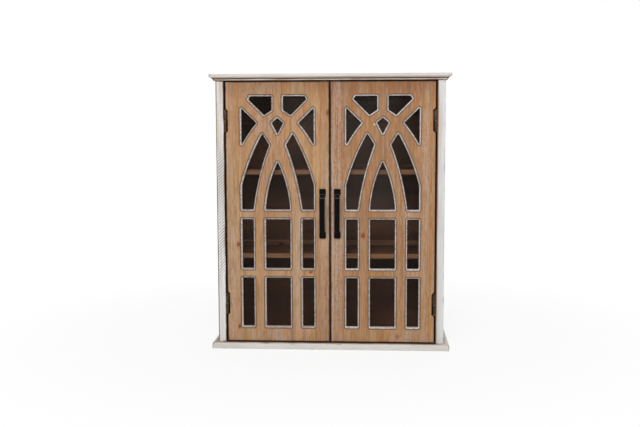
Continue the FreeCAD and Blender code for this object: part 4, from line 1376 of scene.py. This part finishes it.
@dataclass
class Case:
    """Boards, shelves, catch and fasteners that stay on the wall.

    Attributes:
        finishes: the materials.
        rebate_width: rebate of a side for the back panel, across.
        rebate_depth: the same, out from the wall.
        base_round: rounding of the base board's upper arrises.
        crown_lip: height of the crown's upright lip.
        cove_quirk: step between the lip and the cove.
        cove_power: power of the circle that the cove follows; above one it is flatter.
        arris_wear: how far a worn arris of the base and the crown draws in.
        edge_wear: tone of the worn edge in front, of the left and the right side.
        wear_reach: how far that wear reaches.
        shelf_edge: depth of a shelf's front edge that is painted paler, as painted light.
        pin_ease: easing of a shelf pin's ends, as a share of its radius.
    """

    finishes: Finishes
    rebate_width: float = 0.008
    rebate_depth: float = 0.005
    base_round: float = 0.003
    crown_lip: float = 0.007
    cove_quirk: float = 0.0008
    cove_power: float = 1.5
    arris_wear: float = 0.0004
    edge_wear: Pair = (2.6, 3.3)
    wear_reach: float = 0.0047
    shelf_edge: float = 0.0012
    pin_ease: float = 0.25

    def build(self) -> None:
        """Builds the boards and dresses what stays as CAD made it."""
        self.sides()
        self.base()
        self.crown()
        self.shelves()
        dress("back_panel", self.finishes.back)
        dress("hanging_rail", self.finishes.back)
        dress("catch_housing", self.finishes.plastic)
        dress("catch_magnets", self.finishes.ferrite)
        dress("hinge_washers", self.finishes.brass)

    def sides(self) -> None:
        """Side boards: an outline with the rebate behind, carried upwards."""
        for side, most in zip(Side, self.edge_wear):
            node = f"side_panel_{side.word}"
            low, high = box_of(node)
            inner, outer = sorted((abs(low[0]), abs(high[0])))
            notch = inner + self.rebate_width
            corners = np.array([(inner, low[1]), (outer, low[1]), (outer, high[1]), (notch, high[1]),
                                (notch, high[1] - self.rebate_depth), (inner, high[1] - self.rebate_depth)])
            if side is Side.LEFT:
                corners = (corners * (-1.0, 1.0))[::-1]
            worn_edge = -outer if side is Side.LEFT else inner
            shell = Shell()
            eased_bar(shell, corners, Run.Z, (low[2], high[2]), Ease(0.0013, 0.0004, 0.5, 3 + side.value),
                      EdgeWear(worn_edge, low[1], most, self.wear_reach))
            finish = self.finishes.left_side if side is Side.LEFT else self.finishes.right_side
            shell.piece(f"{node}_board", finish, "case", "painted_board", (node,))

    def base(self) -> None:
        """Base board: square below, with its upper arrises rounded."""
        low, high = box_of("base_board")
        quarter = np.linspace(0.0, np.pi / 2.0, 6)
        shoulder = high[2] - self.base_round
        upper = np.stack([self.base_round * (1.0 - np.cos(quarter)),
                          shoulder + self.base_round * np.sin(quarter)], axis=1)
        inner = np.array([(self.base_round + FLAT_MARGIN, high[2])])
        foot = np.array([(0.005, low[2]), (0.0008, low[2]), (0.0002, low[2] + 0.0003),
                         (0.0, low[2] + 0.0009), (0.0, shoulder - FLAT_MARGIN)])
        section = np.concatenate([foot, upper, inner])
        arris = np.array([0.0, 0.6, 0.6, 0.4, 0.0] + [0.25, 0.5, 0.6, 0.6, 0.5, 0.25] + [0.0])
        tone = np.array([0.12] * 5 + [0.1, 0.1, 0.1, 0.3, 0.8, 1.25] + [1.62])
        shell = Shell()
        moulded_board(shell, low, high, section, arris, tone, self.arris_wear, seed=40)
        shell.piece("base_board_eased", self.finishes.board, "case", "painted_board", ("base_board",))

    def crown(self) -> None:
        """Crown board: a flat, a cove, a quirk and a lip with eased arrises."""
        low, high = box_of("crown_board")
        cove = high[2] - low[2] - self.crown_lip
        quarter = np.linspace(0.0, np.pi / 2.0, 9)
        circle = np.stack([np.cos(quarter), np.sin(quarter)], axis=1).clip(0.0, 1.0)
        hollow = (self.cove_quirk, low[2]) + cove * circle ** self.cove_power
        ledge = low[2] + cove
        lip = np.array([(0.0006, ledge), (0.0001, ledge + 0.0003), (0.0, ledge + 0.0009),
                        (0.0, high[2] - 0.0016), (0.0003, high[2] - 0.0007), (0.0010, high[2]),
                        (0.0050, high[2])])
        under = np.array([(self.cove_quirk + cove + FLAT_MARGIN, low[2])])
        section = np.concatenate([under, hollow, lip])
        arris = np.array([0.0, 0.6] + [0.0] * 4 + [0.3] * 4 + [0.4, 0.2, 0.0, 0.0, 0.3, 0.4, 0.0])
        # Tones of the cove: worn paint, and painted shade of the lip on its upper part and its dark line;
        # the underside's 3.6 is painted shade of the gap above the doors.
        hollow_wear_and_shade = [2.0, 1.75, 1.3, 1.9, 4.4, 0.5, 0.2, 0.1, 0.1]
        tone = np.array([3.6] + hollow_wear_and_shade + [0.2] * 3 + [0.6, 0.75, 0.7, 0.3])
        shell = Shell()
        moulded_board(shell, low, high, section, arris, tone, self.arris_wear, seed=60)
        shell.piece("crown_board_moulded", self.finishes.board, "case", "painted_board", ("crown_board",))

    def shelves(self) -> None:
        """Two shelves with front edges painted paler as painted light, and their pins."""
        for number, level in enumerate(Level):
            node = f"{level.value}_shelf"
            low, high = box_of(node)
            shell = Shell()
            box_bar(shell, low, high, Run.X, Ease(0.0011, 0.0004, 0.4, 11 + number),
                    FrontEdge(low[1] + self.shelf_edge))
            shell.piece(f"{node}_board", self.finishes.shelf, "case", "stained_board", (node,))
        shell = Shell()
        for low, high in solids_of("shelf_pins"):
            radius = (high[2] - low[2]) / 2.0
            start = np.array([low[0], (low[1] + high[1]) / 2.0, (low[2] + high[2]) / 2.0])
            ease = self.pin_ease * radius
            length = high[0] - low[0]
            profile = np.array([(0.0, 0.0), (radius - ease, 0.0), (radius, ease), (radius, length - ease),
                                (radius - ease, length), (0.0, length)])
            turned_rod(shell, start, Run.X, profile)
        shell.piece("shelf_pins_turned", self.finishes.steel, "case", "bright_steel", ("shelf_pins",))


# The doors


@dataclass(frozen=True)
class Light:
    """One opening of a door: its corners in shares or metres, and the rise of its curved edges."""

    corners: tuple[Pair, ...]
    bows: tuple[tuple[int, float], ...] = ()


@dataclass
class Tracery:
    """The pattern of lights in a door and the painted rim of each.

    Attributes:
        centre_half: half the width of a middle light.
        mullion: width of a mullion.
        side_light: width of a side light.
        bottom_rail: height of the rail under the lowest row.
        row: height of a row of lights.
        cross_rail: height of a rail between rows.
        arch: height of the arched field.
        corner: rounding of the corners of a light.
        bevel: width and depth of the bevel.
        web: depth of the wood in front of the glass.
        border: width of the glazed line on the face round the bevel.
        skin: thickness of the paint.
    """

    centre_half: float = 0.03155
    mullion: float = 0.03005
    side_light: float = 0.02995
    bottom_rail: float = 0.0371
    row: float = 0.1259
    cross_rail: float = 0.0237
    arch: float = 0.2849
    corner: float = 0.0013
    bevel: float = 0.0045
    web: float = 0.013
    border: float = 0.0009
    skin: float = 0.00016

    def field(self, share: Pair) -> Pair:
        """A point of the arched field from its shares of the half width and of the height."""
        spring = self.bottom_rail + 2.0 * (self.row + self.cross_rail)
        half = self.centre_half + self.mullion + self.side_light
        return share[0] * half, spring + share[1] * self.arch

    def lights(self) -> list[tuple[Light, bool]]:
        """Every light of the right half and the middle, with whether it is mirrored to the left.

        Returns:
            Lights whose corners run anticlockwise, in metres from the door's middle and foot.
        """
        outer = self.centre_half + self.mullion
        edge = outer + self.side_light
        found = []
        for number in range(2):
            low = self.bottom_rail + number * (self.row + self.cross_rail)
            high = low + self.row
            found.append((Light(((-self.centre_half, low), (self.centre_half, low),
                                 (self.centre_half, high), (-self.centre_half, high))), False))
            found.append((Light(((outer, low), (edge, low), (edge, high), (outer, high))), True))
        spring = self.field((0.0, 0.0))[1]
        field = self.field
        lancet = Light(((-self.centre_half, spring), (self.centre_half, spring), field((0.0, 0.4300))),
                       ((1, -0.0483), (2, -0.0483)))
        kite = Light((field((0.0, 0.6637)), field((0.1655, 0.7669)), field((0.0, 0.8118)),
                      field((-0.1655, 0.7669))))
        haunch = Light(((outer, spring), (edge, spring), field((1.0, 0.2149)), field((0.4207, 0.6746)),
                        field((0.2262, 0.5746))), ((2, -0.0332), (4, 0.0315)))
        spandrel = Light((field((1.0, 0.5651)), field((1.0, 0.8993)), field((0.5738, 0.7649))),
                         ((2, 0.0283),))
        head = Light((field((0.1514, 0.8764)), field((0.3650, 0.8319)), field((0.7996, 0.9705)),
                      field((0.7526, 1.0)), field((0.1514, 1.0))))
        return found + [(lancet, False), (kite, False), (haunch, True), (spandrel, True), (head, True)]

    def trace(self, light: Light, steps: int = 10) -> tuple[Array, Array]:
        """Points and outward normals round a light, with arcs for bowed edges and rounded corners.

        A bowed edge of chord c and rise b c is an arc of half angle 2 atan(2 b). A corner of turn t
        takes radius times tan(t / 2) off both its edges.

        Args:
            light: the light.
            steps: edges to a bowed stretch.

        Returns:
            Points and normals, both as a count by two.
        """
        corners = np.array(light.corners)
        bows = np.zeros(len(corners))
        for number, bow in light.bows:
            bows[number] = bow
        chord = np.roll(corners, -1, axis=0) - corners
        length = np.linalg.norm(chord, axis=1)
        heading = np.arctan2(chord[:, 1], chord[:, 0])
        half = 2.0 * np.arctan(2.0 * bows)
        leaving = heading + half
        arriving = np.roll(heading - half, 1)
        turn = np.mod(leaving - arriving + np.pi, 2.0 * np.pi) - np.pi
        taken = self.corner * np.tan(turn / 2.0) / length
        share = np.linspace(0.0, 1.0, steps + 1)
        place = taken[:, None] + (1.0 - taken - np.roll(taken, -1))[:, None] * share
        swing = half[:, None] * (1.0 - 2.0 * place)
        safe = np.where(np.abs(half) < STRAIGHT, 1.0, half)[:, None]
        curve = length[:, None] / (2.0 * np.sin(safe))
        bent = np.abs(half)[:, None] > STRAIGHT
        ahead = np.where(bent, length[:, None] / 2.0 - curve * np.sin(swing), place * length[:, None])
        rise = np.where(bent, curve * (np.cos(swing) - np.cos(safe)), 0.0)
        forward = np.stack([np.cos(heading), np.sin(heading)], axis=1)[:, None]
        left = np.stack([-np.sin(heading), np.cos(heading)], axis=1)[:, None]
        edges = corners[:, None] + ahead[..., None] * forward + rise[..., None] * left
        facing = heading[:, None] + swing - np.pi / 2.0
        arc = (arriving - np.pi / 2.0)[:, None] + turn[:, None] * np.linspace(0.0, 1.0, 7)[1:-1]
        first = arriving - np.pi / 2.0
        second = leaving - np.pi / 2.0
        sum_of = np.stack([np.cos(first) + np.cos(second), np.sin(first) + np.sin(second)], axis=1)
        centre = corners - self.corner * sum_of / (1.0 + np.cos(turn))[:, None]
        rounds = centre[:, None] + self.corner * np.stack([np.cos(arc), np.sin(arc)], axis=-1)
        points = np.concatenate([rounds, edges], axis=1).reshape(-1, 2)
        angles = np.concatenate([arc, facing], axis=1).ravel()
        return points, np.stack([np.cos(angles), np.sin(angles)], axis=1)

    def profile(self) -> tuple[Array, Array]:
        """Section of the painted rim: offset into the wood and depth from the face, and the place across.

        Returns:
            The closed section as a count by two, and its place across from zero to one.
        """
        skin, bevel = self.skin, self.bevel
        outer = bevel + self.border
        rear = self.web - 0.0001
        seen = np.array([(outer, 0.00005), (outer - 0.0002, -skin), (outer - 0.6 * self.border, -skin),
                         (bevel + 0.0003, -skin), (bevel - 0.0005, 0.0002 - skin),
                         (0.5 * bevel, 0.5 * bevel - skin), (0.0005 - skin, bevel - 0.0007),
                         (-skin, bevel + 0.0004), (-skin, 0.5 * (bevel + rear)), (-skin, rear)])
        hidden = np.array([(0.0005, rear), (0.0005, bevel + 0.0009), (bevel + 0.0005, 0.0009),
                           (outer - 0.0002, 0.0006)])
        steps = np.linalg.norm(np.diff(seen, axis=0), axis=1)
        across = np.concatenate([[0.0], np.cumsum(steps)]) / steps.sum()
        return np.concatenate([seen, hidden]), np.concatenate([across, np.linspace(1.0, 0.0, len(hidden))])

    def rims(self, shell: Shell, middle: float, front: float, foot: float) -> None:
        """Adds the painted rim of every light: the section carried round the outline.

        Args:
            shell: where the surfaces go.
            middle: place across of the door's middle.
            front: place of the door's face.
            foot: height of the door's foot.
        """
        section, across = self.profile()
        for light, paired in self.lights():
            points, normals = self.trace(light)
            for mirror in (1.0, -1.0) if paired else (1.0,):
                flat = points[None] + section[:, :1, None] * normals[None]
                depth = np.broadcast_to(section[:, 1:], flat.shape[:2])
                ring = np.stack([middle + mirror * flat[..., 0], front + depth, foot + flat[..., 1]],
                                axis=-1)
                # The sills' share, on which the rim's finish lays dust and painted shade.
                sill = np.maximum(-normals[:, 1], 0.0)
                shell.loop(ring, across=np.broadcast_to(across[:, None], depth.shape),
                           tone=np.broadcast_to(sill, depth.shape))


@dataclass
class Pull:
    """A bar pull bent from flat stock with a broader foot at each end.

    Attributes:
        width: width of the bar.
        thickness: thickness of the stock.
        foot: length of a foot.
        foot_proud: how much broader a foot is than its solid, on each side.
        taper: length over which the foot's width goes over into the bar's.
        bend: radius of the bar's bends, at the middle of the stock.
        heel: radius of the bend between foot and leg.
        round: rounding of the long arrises.
        corner: rounding of a foot's corners in plan.
        flat_start: where the flats start beside the rounding, in roundings from the arris.
    """

    width: float = 0.0136
    thickness: float = 0.005
    foot: float = 0.016
    foot_proud: float = 0.0006
    taper: float = 0.004
    bend: float = 0.0052
    heel: float = 0.0056
    round: float = 0.0012
    corner: float = 0.003
    flat_start: float = 1.5

    def centre_line(self, half: float, reach: float) -> tuple[Array, Array, Array]:
        """The bent line in the middle of the stock: runs joined by arcs.

        Args:
            half: half the pull's length.
            reach: how far the bar stands out.

        Returns:
            Points up and out, unit normals on the outer side, and distances along the line.
        """
        leg = half - self.foot - self.thickness / 2.0
        low = self.thickness / 2.0
        high = reach - self.thickness / 2.0
        corners = np.array([(half, low), (leg, low), (leg, high), (-leg, high), (-leg, low), (-half, low)])
        radii = np.array([self.heel, self.bend, self.bend, self.heel])
        step = np.diff(corners, axis=0)
        way = step / np.linalg.norm(step, axis=1)[:, None]
        before, after = way[:-1], way[1:]
        cross = before[:, 0] * after[:, 1] - before[:, 1] * after[:, 0]
        turn = np.arctan2(cross, np.sum(before * after, axis=1))
        angle = np.linspace(0.0, 1.0, 9) * turn[:, None]
        side = np.stack([-before[:, 1], before[:, 0]], axis=1) * np.sign(turn)[:, None]
        start = corners[1:-1] - before * (radii * np.tan(np.abs(turn) / 2.0))[:, None]
        sweep = np.abs(angle)[..., None]
        bends = start[:, None] + radii[:, None, None] * (np.sin(sweep) * before[:, None]
                                                         + (1.0 - np.cos(sweep)) * side[:, None])
        rounded = np.linspace(0.0, np.pi / 2.0, 6)
        tips = half - self.corner * (1.0 - np.cos(rounded))
        ends = np.stack([tips, np.full(len(tips), low)], axis=1)
        bar = np.linspace(leg - self.bend, -(leg - self.bend), 14)[1:-1]
        middle = np.stack([bar, np.full(len(bar), high)], axis=1)
        points = np.concatenate([ends, bends[0], bends[1], middle, bends[2], bends[3],
                                 ends[::-1] * (-1.0, 1.0)])
        along = np.gradient(points, axis=0)
        along /= np.linalg.norm(along, axis=1)[:, None]
        normal = np.stack([along[:, 1], -along[:, 0]], axis=1)
        travel = np.concatenate([[0.0], np.cumsum(np.linalg.norm(np.diff(points, axis=0), axis=1))])
        return points, normal, travel

    def build(self, side: Side, finish: Material) -> None:
        """Carries the flat section along the bent line, broader at the feet.

        Args:
            side: which door it is on.
            finish: its material.
        """
        node = f"{side.word}_pull_handle"
        low, high = box_of(node)
        half = (high[2] - low[2]) / 2.0
        points, normal, travel = self.centre_line(half, high[1] - low[1])
        total = travel[-1]
        from_end = np.minimum(travel, total - travel)
        foot_half = (high[0] - low[0]) / 2.0 + self.foot_proud
        wide = np.clip((from_end - self.foot + self.taper / 2.0) / self.taper, 0.0, 1.0)
        wide = wide * wide * (3.0 - 2.0 * wide)
        spread = foot_half + (self.width / 2.0 - foot_half) * wide
        short = np.clip(self.corner - from_end, 0.0, self.corner)
        spread = spread - self.corner + np.sqrt(self.corner ** 2 - short ** 2)
        square = rectangle(np.array((-1.0, -1.0)), np.array((1.0, 1.0)))
        section = round_outline(square, steps=5, margin=0.0)
        sign = np.sign(section.anchor)
        reach = section.reach.reshape(4, -1, 2).copy()
        reach[:, [0, -1]] = self.flat_start * reach[:, [1, -2]]
        reach = self.round * reach.reshape(-1, 2)
        sideways = sign[:, 0] * spread[:, None] + reach[:, 0]
        outwards = sign[:, 1] * self.thickness / 2.0 + reach[:, 1]
        middle = (low + high) / 2.0
        ring = np.empty(sideways.shape + (3,))
        ring[..., 0] = middle[0] + sideways
        ring[..., 1] = high[1] - (points[:, 1:] + outwards * normal[:, 1:])
        ring[..., 2] = middle[2] + points[:, :1] + outwards * normal[:, :1]
        shell = Shell()
        shell.grid(ring)
        shell.piece(f"{side.word}_pull", finish, side.body, "black_iron", (node,))


@dataclass
class Door:
    """One door: its panel and glass, the painted tracery, the beads, the pull and the strike.

    Attributes:
        side: which door it is.
        finishes: the materials.
        tracery: the pattern of its lights.
        pull: the shape of its pull.
    """

    side: Side
    finishes: Finishes
    tracery: Tracery
    pull: Pull

    def build(self) -> None:
        """Builds what is new on the door and dresses the rest."""
        word = self.side.word
        dress(f"{word}_door_panel", self.finishes.pine)
        dress(f"{word}_door_glass", self.finishes.glass)
        dress(f"{word}_strike_plate", self.finishes.steel)
        low, high = box_of(f"{word}_door_panel")
        shell = Shell()
        self.tracery.rims(shell, (low[0] + high[0]) / 2.0, low[1], low[2])
        shell.piece(f"{word}_light_rims", self.finishes.rim, self.side.body, "painted_board")
        self.beads()
        self.pull.build(self.side, self.finishes.iron)

    def beads(self) -> None:
        """Four glazing beads with eased arrises."""
        for number, (place, run) in enumerate((("top", Run.X), ("bottom", Run.X),
                                               ("pull_side", Run.Z), ("hinge_side", Run.Z))):
            node = f"{self.side.word}_{place}_bead"
            low, high = box_of(node)
            shell = Shell()
            box_bar(shell, low, high, run, Ease(0.0008, 0.0002, 0.3, 21 + number))
            shell.piece(f"{node}_strip", self.finishes.bead, self.side.body, "stained_board", (node,))


@dataclass
class Hinge:
    """A lift-off hinge: two leaves with eased knuckles, and the pin.

    Attributes:
        side: which door it carries.
        level: its height on the door.
        finishes: the materials.
        leaf: thickness of a leaf.
        knuckle: radius of a knuckle.
        pin: radius of the pin.
        clearance: room between the pin and its hole.
        ease: rounding of the knuckles' ends.
        corner: rounding of a leaf's corners.
        ring_place: distance of the turned ring from the knuckle's outer end.
        ring_half: half the width of the ring.
        ring_depth: depth of the ring.
        roof: thickness of the upper knuckle's closed end.
        seam_below: how far the lower knuckle ends below the hinge's middle.
        seam_above: how far the upper knuckle starts above it.
        head_room: how far the door's leaf ends below its knuckle's head.
        tongue_lap: how far the case's knuckle laps onto its leaf.
    """

    side: Side
    level: Level
    finishes: Finishes
    leaf: float = 0.0012
    knuckle: float = 0.0035
    pin: float = 0.0015
    clearance: float = 0.00005
    ease: float = 0.0006
    corner: float = 0.0024
    ring_place: float = 0.0035
    ring_half: float = 0.0005
    ring_depth: float = 0.0003
    roof: float = 0.0015
    seam_below: float = 0.0005
    seam_above: float = 0.0006
    head_room: float = 0.005
    tongue_lap: float = 0.003

    @property
    def name(self) -> str:
        """The hinge's name as the nodes carry it."""
        return f"{self.side.word}_{self.level.value}"

    @property
    def axis(self) -> Array:
        """Place of the hinge's axis, across and out."""
        joint = next(item for item in frame["joints"] if item["child"] == self.side.body)
        return np.array(joint["pos_m"][:2])

    def build(self) -> None:
        """Builds both leaves and the pin on the hinge's axis."""
        self.case_leaf()
        self.door_leaf()
        node = f"{self.name}_hinge_pin"
        low, high = box_of(node)
        length = high[2] - low[2]
        profile = np.array([(0.0, 0.0002), (self.pin - 0.0004, 0.0), (self.pin, 0.0004),
                            (self.pin, length - 0.0006), (self.pin - 0.0006, length), (0.0, length)])
        shell = Shell()
        turned_rod(shell, np.array([*self.axis, low[2]]), Run.Z, profile)
        shell.piece(f"{self.name}_pin", self.finishes.bronze, "case", "hinge_bronze", (node,))

    def barrel(self, shell: Shell, low: float, high: float, bore: bool) -> None:
        """A knuckle: eased at both ends, with a fine ring turned near its outer end.

        Args:
            shell: where the surface goes.
            low: height of its foot.
            high: height of its head.
            bore: whether it is open right through.
        """
        length = high - low
        ease, radius = self.ease, self.knuckle
        hole = self.pin + self.clearance
        outside = [(radius - ease, 0.0), (radius - 0.3 * ease, 0.3 * ease), (radius, ease)]
        ring = self.ring_place if bore else length - self.ring_place
        outside += [(radius, ring - self.ring_half), (radius - self.ring_depth, ring),
                    (radius, ring + self.ring_half)]
        outside += [(radius, length - ease), (radius - 0.3 * ease, length - 0.3 * ease),
                    (radius - ease, length)]
        inside = [(hole, length), (hole, 0.0)]
        if not bore:
            ceiling = length - self.roof
            inside = [(0.0, length), (0.0, ceiling), (hole, ceiling), (hole, 0.0)]
        profile = np.array(outside + inside + outside[:1])
        turned_rod(shell, np.array([*self.axis, low]), Run.Z, profile)

    def plate(self, shell: Shell, inner: float, outer: float, deep: Pair, tall: Pair) -> None:
        """A leaf: an upright rectangle with rounded corners, as thick as the stock.

        Args:
            shell: where the surface goes.
            inner: place across of one face, without its side's sign.
            outer: place across of the other face.
            deep: its reach in Y.
            tall: its reach up.
        """
        faces = sorted((self.side.value * inner, self.side.value * outer))
        corners = rectangle(np.array((deep[0], tall[0])), np.array((deep[1], tall[1])))
        eased_bar(shell, corners, Run.X, tuple(faces), Ease(self.corner, 0.00025, 0.0), station=0.01)

    def case_leaf(self) -> None:
        """The leaf on the case with the lower knuckle."""
        node = f"{self.name}_case_leaf"
        low, high = box_of(node)
        seam = (low[2] + high[2]) / 2.0 - self.seam_below
        wall = max(abs(low[0]), abs(high[0]))
        front = self.axis[1] + self.knuckle
        shell = Shell()
        self.barrel(shell, low[2], seam, True)
        self.plate(shell, wall - self.leaf, wall, (front, high[1]), (low[2], high[2]))
        tongue = np.sort([self.side.value * (wall - self.leaf), self.side.value * wall])
        box_bar(shell, np.array([tongue[0], self.axis[1], low[2] + self.ease]),
                np.array([tongue[1], front + self.tongue_lap, seam - self.ease]), Run.Z,
                Ease(0.0003, 0.0002, 0.0))
        shell.piece(f"{self.name}_case_hinge", self.finishes.bronze, "case", "hinge_bronze", (node,))

    def door_leaf(self) -> None:
        """The leaf on the door with the upper knuckle, cranked forward to reach it."""
        node = f"{self.name}_door_leaf"
        low, high = box_of(node)
        case_low, case_high = box_of(f"{self.name}_case_leaf")
        seam = (case_low[2] + case_high[2]) / 2.0 + self.seam_above
        floor = min(abs(low[0]), abs(high[0]))
        front = self.axis[1] + self.knuckle
        leaf_head = high[2] - self.head_room
        shell = Shell()
        self.barrel(shell, seam, high[2], False)
        self.plate(shell, floor, floor + self.leaf, (front - self.leaf, high[1]), (low[2], leaf_head))
        crank = np.sort([self.side.value * floor, self.axis[0]])
        box_bar(shell, np.array([crank[0], front - self.leaf, seam + self.ease]),
                np.array([crank[1], front, leaf_head]), Run.X, Ease(0.0003, 0.0002, 0.0))
        shell.piece(f"{self.name}_door_hinge", self.finishes.bronze, self.side.body, "hinge_bronze", (node,))


@dataclass(frozen=True)
class ScrewSet:
    """A node of screws that point the same way.

    Attributes:
        node: the CAD node.
        body: the body that it rides on.
        run: the screws' axis.
        sign: which way they point; zero where each points away from the middle of its door or case.
        shank: radius of a shank.
        sink: depth of a head.
        slot: the record's material slot.
    """

    node: str
    body: str
    run: Run
    sign: int
    shank: float
    sink: float
    slot: str

    def build(self, finish: Material, form: ScrewForm) -> None:
        """Puts a threaded screw in place of each solid of the node.

        Args:
            finish: the material.
            form: the shape of a screw.
        """
        first, _, third = self.run.value
        shell = Shell()
        for low, high in solids_of(self.node):
            middle = (low + high) / 2.0
            sign = self.sign if self.sign else int(np.sign(middle[0]))
            start = middle.copy()
            start[third] = low[third] if sign > 0 else high[third]
            head = (high[first] - low[first]) / 2.0
            form.add(shell, start, self.run, sign, (head, self.sink, self.shank, high[third] - low[third]))
        shell.piece(f"{self.node}_threaded", finish, self.body, self.slot, (self.node,))


def screw_sets() -> list[ScrewSet]:
    """Every set of screws on the cabinet.

    Returns:
        The sets, the case's first.
    """
    small, board, machine = 0.0015, 0.0020, 0.0019
    sets = [
        ScrewSet("crown_screws", "case", Run.Z, -1, board, 0.0030, "bright_steel"),
        ScrewSet("base_screws", "case", Run.Z, 1, board, 0.0030, "bright_steel"),
        ScrewSet("back_screws", "case", Run.Y, -1, small, 0.0016, "bright_steel"),
        ScrewSet("catch_screws", "case", Run.Z, 1, small, 0.0016, "bright_steel"),
        ScrewSet("case_hinge_screws", "case", Run.X, 0, small, 0.0012, "hinge_bronze"),
    ]
    for side in Side:
        sets += [
            ScrewSet(f"{side.word}_door_hinge_screws", side.body, Run.X, -side.value, small, 0.0012,
                     "hinge_bronze"),
            ScrewSet(f"{side.word}_strike_screw", side.body, Run.Y, -1, small, 0.0012, "bright_steel"),
            ScrewSet(f"{side.word}_pull_screws", side.body, Run.Y, -1, machine, 0.0024, "bright_steel"),
        ]
    return sets


# Stage


@dataclass(frozen=True)
class Lamp:
    """A soft square lamp: its name and place, the length of its side and its power in watts."""

    name: str
    place: Triple
    size: float
    power: float

    def build(self, aim: Triple) -> None:
        """Hangs the lamp so that it faces a point.

        Args:
            aim: the point.
        """
        data = bpy.data.lights.new(self.name, "AREA")
        data.size = self.size
        data.energy = self.power
        item = add_object(self.name, data)
        item.location = self.place
        facing = Vector(aim) - Vector(self.place)
        item.rotation_euler = facing.to_track_quat("-Z", "Y").to_euler()


@dataclass
class Stage:
    """Floor, light and camera of the photograph's view.

    Attributes:
        eye: where the camera stands.
        yaw: its turn to the left, in degrees.
        pitch: its tilt down, in degrees.
        roll: its roll, in degrees.
        focal: focal length in pixels of the photograph.
        image_width: width of the photograph in pixels.
        ambient: strength of the even light all round.
        aim: the point that the lamps face.
        lamps: the lamps.
        floor_half: half the width of the floor.
        floor_drop: how far the floor lies below the cabinet.
        floor_grey: how much light the floor gives back.
        fade: distance at which the floor's shadow starts to fade into white, and ends.
        fade_low: how white the floor is at the cabinet's foot.
    """

    eye: Triple = (0.11585, -2.44197, 0.57278)
    yaw: float = 3.59
    pitch: float = 5.77
    roll: float = -0.18
    focal: float = 900.0
    image_width: float = 640.0
    ambient: float = 0.30
    aim: Triple = (0.0, -0.15, 0.35)
    lamps: tuple[Lamp, ...] = (
        Lamp("key", (-0.15, -2.35, 1.6), 1.0, 42.0),
        Lamp("fill", (2.2, -1.8, 0.3), 1.2, 7.0),
        Lamp("rear", (0.6, 2.6, 1.6), 2.0, 34.0),
    )
    floor_half: float = 9.0
    floor_drop: float = 0.0002
    floor_grey: float = 0.8
    fade: Pair = (0.35, 1.0)
    fade_low: float = 0.88

    def build(self) -> None:
        """Builds the camera, the floor, the world and the lamps."""
        self.camera()
        self.floor()
        self.world()
        for lamp in self.lamps:
            lamp.build(self.aim)
        bpy.context.scene.view_settings.view_transform = "Standard"

    def camera(self) -> None:
        """Sets the camera by its yaw, pitch and roll."""
        data = bpy.data.cameras.new("photo_camera")
        data.sensor_width = 36.0
        data.lens = self.focal / self.image_width * data.sensor_width
        item = add_object("photo_camera", data)
        yaw, pitch, roll = (math.radians(angle) for angle in (self.yaw, self.pitch, self.roll))
        forward = Vector((-math.sin(yaw) * math.cos(pitch), math.cos(yaw) * math.cos(pitch),
                          -math.sin(pitch)))
        right = Vector((math.cos(yaw), math.sin(yaw), 0.0))
        up = right.cross(forward)
        level = right * math.cos(roll) + up * math.sin(roll)
        upright = up * math.cos(roll) - right * math.sin(roll)
        turn = Matrix((level, upright, -forward)).transposed()
        item.matrix_world = Matrix.Translation(self.eye) @ turn.to_4x4()
        bpy.context.scene.camera = item

    def seen(self, tree: Tree) -> Socket:
        """One for rays that show the background: from the camera, mirrored or through glass.

        Args:
            tree: the nodes.

        Returns:
            The share.
        """
        path = put(tree, "LightPath")
        result = path.outputs["Is Camera Ray"]
        for name in ("Is Glossy Ray", "Is Transmission Ray"):
            result = put(tree, "Math", {0: result, 1: path.outputs[name]}, operation="MAXIMUM").outputs[0]
        return result

    def floor(self) -> None:
        """A wide pale floor that shows white and keeps a soft shadow."""
        half, height = self.floor_half, -self.floor_drop
        mesh = bpy.data.meshes.new("floor")
        mesh.from_pydata([(-half, -half, height), (half, -half, height), (half, half, height),
                          (-half, half, height)], [], [(0, 1, 2, 3)])
        add_object("floor", mesh)
        material = bpy.data.materials.new("pale_floor")
        material.use_nodes = True
        tree = material.node_tree
        tree.nodes.clear()
        plain = put(tree, "BsdfDiffuse", {0: (self.floor_grey, self.floor_grey, self.floor_grey, 1.0)})
        glow = put(tree, "Emission")
        place = put(tree, "TexCoord").outputs["Object"]
        away = put(tree, "VectorMath", {0: place}, operation="LENGTH").outputs["Value"]
        limits = (*self.fade, self.fade_low, 1.0)
        fade = put(tree, "MapRange", dict(enumerate((away, *limits)))).outputs[0]
        share = put(tree, "Math", {0: self.seen(tree), 1: fade}, operation="MULTIPLY").outputs[0]
        mix = put(tree, "MixShader", {0: share, 1: plain.outputs[0], 2: glow.outputs[0]})
        put(tree, "OutputMaterial", {0: mix.outputs[0]})
        mesh.materials.append(material)

    def world(self) -> None:
        """Even light all round, seen as white."""
        world = bpy.data.worlds.new("studio")
        bpy.context.scene.world = world
        world.use_nodes = True
        tree = world.node_tree
        strength = put(tree, "MapRange", {0: self.seen(tree), 3: self.ambient, 4: 1.0})
        ground = tree.nodes["Background"]
        feed(tree, ground.inputs[0], (1.0, 1.0, 1.0, 1.0))
        feed(tree, ground.inputs[1], strength.outputs[0])


def main() -> None:
    """Builds the cabinet's looks in order."""
    logging.basicConfig(level=logging.INFO, format="%(name)s: %(message)s")
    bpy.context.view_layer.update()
    Stage().build()
    finishes = make_finishes()
    Case(finishes).build()
    for side in Side:
        Door(side, finishes, Tracery(), Pull()).build()
        for level in Level:
            Hinge(side, level, finishes).build()
    by_slot = {"bright_steel": finishes.steel, "hinge_bronze": finishes.bronze}
    for screws in screw_sets():
        screws.build(by_slot[screws.slot], ScrewForm())


if __name__ == "__main__":
    main()
